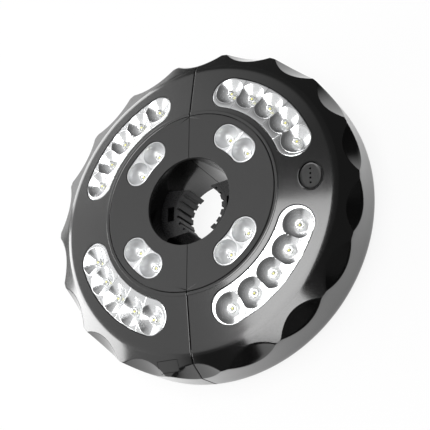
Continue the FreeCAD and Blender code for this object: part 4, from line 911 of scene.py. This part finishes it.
class LAMP_OT_reflectors(bpy.types.Operator):
    """Makes the bright inserts with their cups and bowls"""

    bl_idname = "lamp.reflectors"
    bl_label = "Reflectors"

    def execute(self, context):
        grow = CUP_DEPTH / (CUP_RADIUS - CUP_FOOT)

        def cone(distance):
            return (distance - CUP_RADIUS) * grow

        def bowl(distance):
            return -np.sqrt(np.maximum(BOWL_RADIUS ** 2 - distance ** 2, 0))

        # place, its hollows, finish, sharpest smooth edge, then what cup_sheets asks for
        inserts = [("outer", "cups", "mirror", 14.0, CUP_RING, OUTER_HALF_ANGLE, 5,
                    (OUTER_RING, OUTER_HALF_WIDTH - REFLECTOR_GAP, OUTER_HALF_ANGLE), CUP_RADIUS,
                    cone, face_height(CUP_RING) - REFLECTOR_RECESS, RING_SLOPE),
                   ("inner", "bowls", "bowl", 25.0, INNER_RING, INNER_HALF_ANGLE, 2,
                    (INNER_RING, INNER_HALF_WIDTH - REFLECTOR_GAP, INNER_HALF_ANGLE), BOWL_RADIUS,
                    bowl, BODY_HEIGHT - REFLECTOR_RECESS, 0.0)]
        for half, sign in HALVES.items():
            for side in (-1, 1):
                word = "upper" if side * sign > 0 else "lower"
                for place, hollows, finish, sharp, ring, *sizes in inserts:
                    name = "%s_%s_%s" % (half, word, place)
                    sheets = cup_sheets(ring, side * GROUP_ANGLE, *sizes)
                    piece = sheets.piece(name + "_" + hollows, [MATERIALS[finish]], sign, sharp)
                    finish_piece(piece, half + "_half", "reflector", name + "_reflector")
        return {"FINISHED"}


class LAMP_OT_lights(bpy.types.Operator):
    """Makes the clear lamps that stand over the chips"""

    bl_idname = "lamp.lights"
    bl_label = "Lights"

    def execute(self, context):
        for half, sign in HALVES.items():
            domes = dome_sheets(light_places()).piece(half + "_clear_lamps", [MATERIALS["lens"]],
                                                      sign, sharp=50.0)
            finish_piece(domes, half + "_half", "dome", half + "_light_domes")
        return {"FINISHED"}


class LAMP_OT_button(bpy.types.Operator):
    """Makes the oval power button with its four recesses"""

    bl_idname = "lamp.button"
    bl_label = "Power button"

    def execute(self, context):
        button = button_sheets().piece("power_button_cap", [MATERIALS["button"], MATERIALS["dot"]])
        finish_piece(button, "power_button", "button", "power_button")
        return {"FINISHED"}


class LAMP_OT_hinge_wires(bpy.types.Operator):
    """Makes the wires that cross the hinge as one thick line through a few bends"""

    bl_idname = "lamp.hinge_wires"
    bl_label = "Hinge wires"

    def execute(self, context):
        x, y, seam_y, low, high = WIRE_X, WIRE_Y, WIRE_SEAM_Y, WIRE_LOW, WIRE_HIGH
        bend = WIRE_BEND
        half = np.array([(x / 2 - 2 * bend, seam_y, low),
                         (x / 2 + bend / 2, seam_y - bend / 4, low), (x - bend, y + bend, low),
                         (x, y, low + bend / 4), (x, y, low + 2 * bend), (x, y, high)])
        route = np.concatenate([half[::-1] * (-1, 1, 1), half]) * MM
        curve = bpy.data.curves.new("hinge_wires_line", "CURVE")
        curve.dimensions = "3D"
        curve.bevel_depth = WIRE_RADIUS * MM
        curve.bevel_resolution = 3
        curve.use_fill_caps = True
        line = curve.splines.new("NURBS")
        line.points.add(len(route) - 1)
        line.points.foreach_set("co", np.column_stack([route, np.ones(len(route))]).ravel())
        line.order_u = 3
        line.use_endpoint_u = True
        line.resolution_u = 10
        holder = bpy.data.objects.new("hinge_wires_line", curve)
        mesh = bpy.data.meshes.new_from_object(holder)
        mesh.name = "hinge_wires"
        bpy.data.objects.remove(holder)
        bpy.data.curves.remove(curve)
        merged(mesh, 1e-6, outwards=True)
        coated(mesh, "wire")
        wires = linked("hinge_wires", mesh)
        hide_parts("hinge_lead")
        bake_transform(wires)
        return {"FINISHED"}


class LAMP_OT_springs(bpy.types.Operator):
    """Makes the jaw springs and the latch spring as plated copies of the imported coils"""

    bl_idname = "lamp.springs"
    bl_label = "Springs"

    def execute(self, context):
        # node, joint, direction, fixed end, share of the length left at the joint's limit
        springs = [("left_jaw_springs", "left_jaw_slide", (1, 0, 0), (-50.0, 0.0, 20.75), 0.625),
                   ("right_jaw_springs", "right_jaw_slide", (1, 0, 0), (50.0, 0.0, 20.75), 0.625),
                   ("latch_spring", "latch_button_slide", (0, 0, 1), (-15.0, -102.25, 5.4), 0.718)]
        for node, joint, axis, anchor, keep in springs:
            mesh = NODES[node].data.copy()
            merged(mesh, 1e-7)
            coated(mesh, "steel")
            coil = linked(node + "_wound", mesh)
            body = "right_half" if node.startswith("right") else "left_half"
            finish_piece(coil, body, "spring", node)
            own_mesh(coil)
        return {"FINISHED"}


class LAMP_OT_finishes(bpy.types.Operator):
    """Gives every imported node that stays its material"""

    bl_idname = "lamp.finishes"
    bl_label = "Finishes"

    def execute(self, context):
        finishes = {"back_cover": "cover", "battery_door": "cover", "battery_cells": "cell",
                    "battery_contacts": "contact", "light_board": "board", "light_chips": "chip",
                    "jaw_block": "jaw", "jaw_pad": "pad",
                    "board_screws": "steel", "cover_screws": "steel", "hanging_hook": "hook",
                    "hook_pin": "pin", "battery_lead": "wire"}
        single = {"hinge_pin": "pin", "latch_button": "rim", "latch_tongue": "jaw",
                  "tongue_screws": "steel", "switch_screws": "steel", "switch_board": "board",
                  "power_switch": "switch"}
        for half in HALVES:
            single.update({half + "_" + node: finish for node, finish in finishes.items()})
        for node, finish in single.items():
            coated(NODES[node].data, finish)
        return {"FINISHED"}


class LAMP_OT_stage(bpy.types.Operator):
    """Makes the floor, the studio lamps and the camera"""

    bl_idname = "lamp.stage"
    bl_label = "Stage"

    def execute(self, context):
        scene = context.scene
        look = scene.lamp_look
        scene.view_settings.view_transform = "Standard"
        # just under the lamp's back and wide enough to fill every view
        reach, level = 6.0, -2e-4
        mesh = bpy.data.meshes.new("floor")
        mesh.from_pydata([(-reach, -reach, level), (reach, -reach, level), (reach, reach, level),
                          (-reach, reach, level)], [], [(0, 1, 2, 3)])
        floor = linked("floor", mesh)
        # the table is white under the lamp and to its left and dark to the right, which only the
        # gloss mirrors; the camera sees a white sweep with a faint shadow
        material, tree, place = new_material("pale_studio_floor")
        ray = add(tree, "LightPath")
        away = add(tree, "VectorMath", {"operation": "DISTANCE", 1: (-0.65, 0.08, 0.0)}, _0=place)
        table = ranged(tree, (away, "Value"), 0.785, 0.86, 0.9, 0.03)
        near = add(tree, "BsdfDiffuse", Color=table)
        glow = add(tree, "Emission", Color=table)
        lit = fed(tree, "MixShader", 0.4, near, glow)
        sweep = add(tree, "BsdfDiffuse", {"Color": (*look.floor_colour, 1.0)})
        white = add(tree, "Emission", {"Color": (1, 1, 1, 1), "Strength": 1.0})
        seen = fed(tree, "MixShader", 0.9, sweep, white)
        glossy = fed(tree, "MixShader", (ray, "Is Glossy Ray"), near, lit)
        clear = fed(tree, "Math", (ray, "Is Camera Ray"), (ray, "Is Transmission Ray"),
                    operation="MAXIMUM")
        both = fed(tree, "MixShader", clear, glossy, seen)
        # seen from below, the floor is clear, so that it does not hide the lamp's back
        under = add(tree, "NewGeometry")
        back = fed(tree, "Math", (under, "Backfacing"), (ray, "Is Camera Ray"),
                   operation="MULTIPLY")
        both = fed(tree, "MixShader", back, both, add(tree, "BsdfTransparent"))
        add(tree, "OutputMaterial", Surface=both)
        floor.data.materials.append(material)

        # the room: a pale wall and ceiling on the left, dim elsewhere
        world = scene.world or bpy.data.worlds.new("studio")
        scene.world = world
        world.use_nodes = True
        tree = world.node_tree
        tree.nodes.clear()
        ray = add(tree, "LightPath")
        axis = add(tree, "SeparateXYZ", _0=(add(tree, "TexCoord"), "Generated"))
        left = ranged(tree, (axis, "X"), 0.0, -0.35)
        far = ranged(tree, (axis, "X"), -0.45, -0.6)
        off = fed(tree, "Math", (axis, "Y"), 0.2, operation="SUBTRACT")
        off = fed(tree, "Math", off, operation="ABSOLUTE")
        side = fed(tree, "Math", ranged(tree, off, 0.62, 0.5), far, operation="MAXIMUM")
        pale = fed(tree, "Math", side, left, operation="MULTIPLY")
        level = ranged(tree, pale, 0.0, 1.0, 0.09 * look.light_level, 0.75 * look.light_level)
        dim = add(tree, "Background", {"Color": (1, 1, 1, 1)}, Strength=level)
        white = add(tree, "Background", {"Color": (1, 1, 1, 1), "Strength": 1.0})
        both = fed(tree, "MixShader", (ray, "Is Camera Ray"), dim, white)
        add(tree, "OutputWorld", Surface=both)

        # soft boxes: name, place, width, height, roll in degrees, radiance
        aim = Vector((0, 0, 0.03))
        boxes = [("overhead_box", (0.0, -0.17, 1.2), 0.62, 1.2, 17.0, 5.2),
                 ("left_box", (-1.05, -0.05, 0.33), 0.85, 0.36, 0.0, 5.5),
                 ("back_left_box", (-0.82, 0.68, 0.24), 0.6, 0.45, 0.0, 3.0)]
        for name, place, width, height, roll, radiance in boxes:
            lamp = bpy.data.lights.new(name, "AREA")
            lamp.shape, lamp.size, lamp.size_y = "RECTANGLE", width, height
            lamp.energy = radiance * math.pi * width * height * look.light_level
            turn = (aim - Vector(place)).to_track_quat("-Z", "Y")
            turn = turn @ Quaternion((0, 0, 1), math.radians(roll))
            box = linked(name, lamp)
            box.location, box.rotation_euler = place, turn.to_euler()

        # the photo's view: from the front, a little below and to the right
        data = bpy.data.cameras.new("camera")
        data.lens, data.sensor_width = 77.031, 36.0
        data.clip_start, data.clip_end = 0.01, 50.0
        camera = linked("camera", data)
        camera.location = (0.272508, -0.226702, 0.509619)
        camera.rotation_euler = Euler([math.radians(a) for a in (22.08590, 28.52469, 0.25672)])
        scene.camera = camera
        return {"FINISHED"}


class LAMP_PT_panel(bpy.types.Panel):
    """Lists the lamp's pieces"""

    bl_idname = "LAMP_PT_panel"
    bl_label = "Patio umbrella light"
    bl_space_type = "VIEW_3D"
    bl_region_type = "UI"
    bl_category = "Lamp"

    def draw(self, context):
        look = context.scene.lamp_look
        for name in ("seam_round", "light_level", "floor_colour"):
            self.layout.prop(look, name)
        for maker in MAKERS:
            self.layout.operator(maker.bl_idname)


MAKERS = (LAMP_OT_stage, LAMP_OT_shells, LAMP_OT_plates, LAMP_OT_reflectors, LAMP_OT_lights,
          LAMP_OT_button, LAMP_OT_hinge_wires, LAMP_OT_springs, LAMP_OT_finishes)
CLASSES = (LampLook, *MAKERS, LAMP_PT_panel)


def register():
    for cls in CLASSES:
        bpy.utils.register_class(cls)
    bpy.types.Scene.lamp_look = PointerProperty(type=LampLook)


def unregister():
    del bpy.types.Scene.lamp_look
    for cls in reversed(CLASSES):
        bpy.utils.unregister_class(cls)


def main():
    """Makes every piece by its operator."""
    register()
    make_materials()
    for maker in MAKERS:
        group, name = maker.bl_idname.split(".")
        getattr(getattr(bpy.ops, group), name)()


if __name__ == "__main__":
    main()
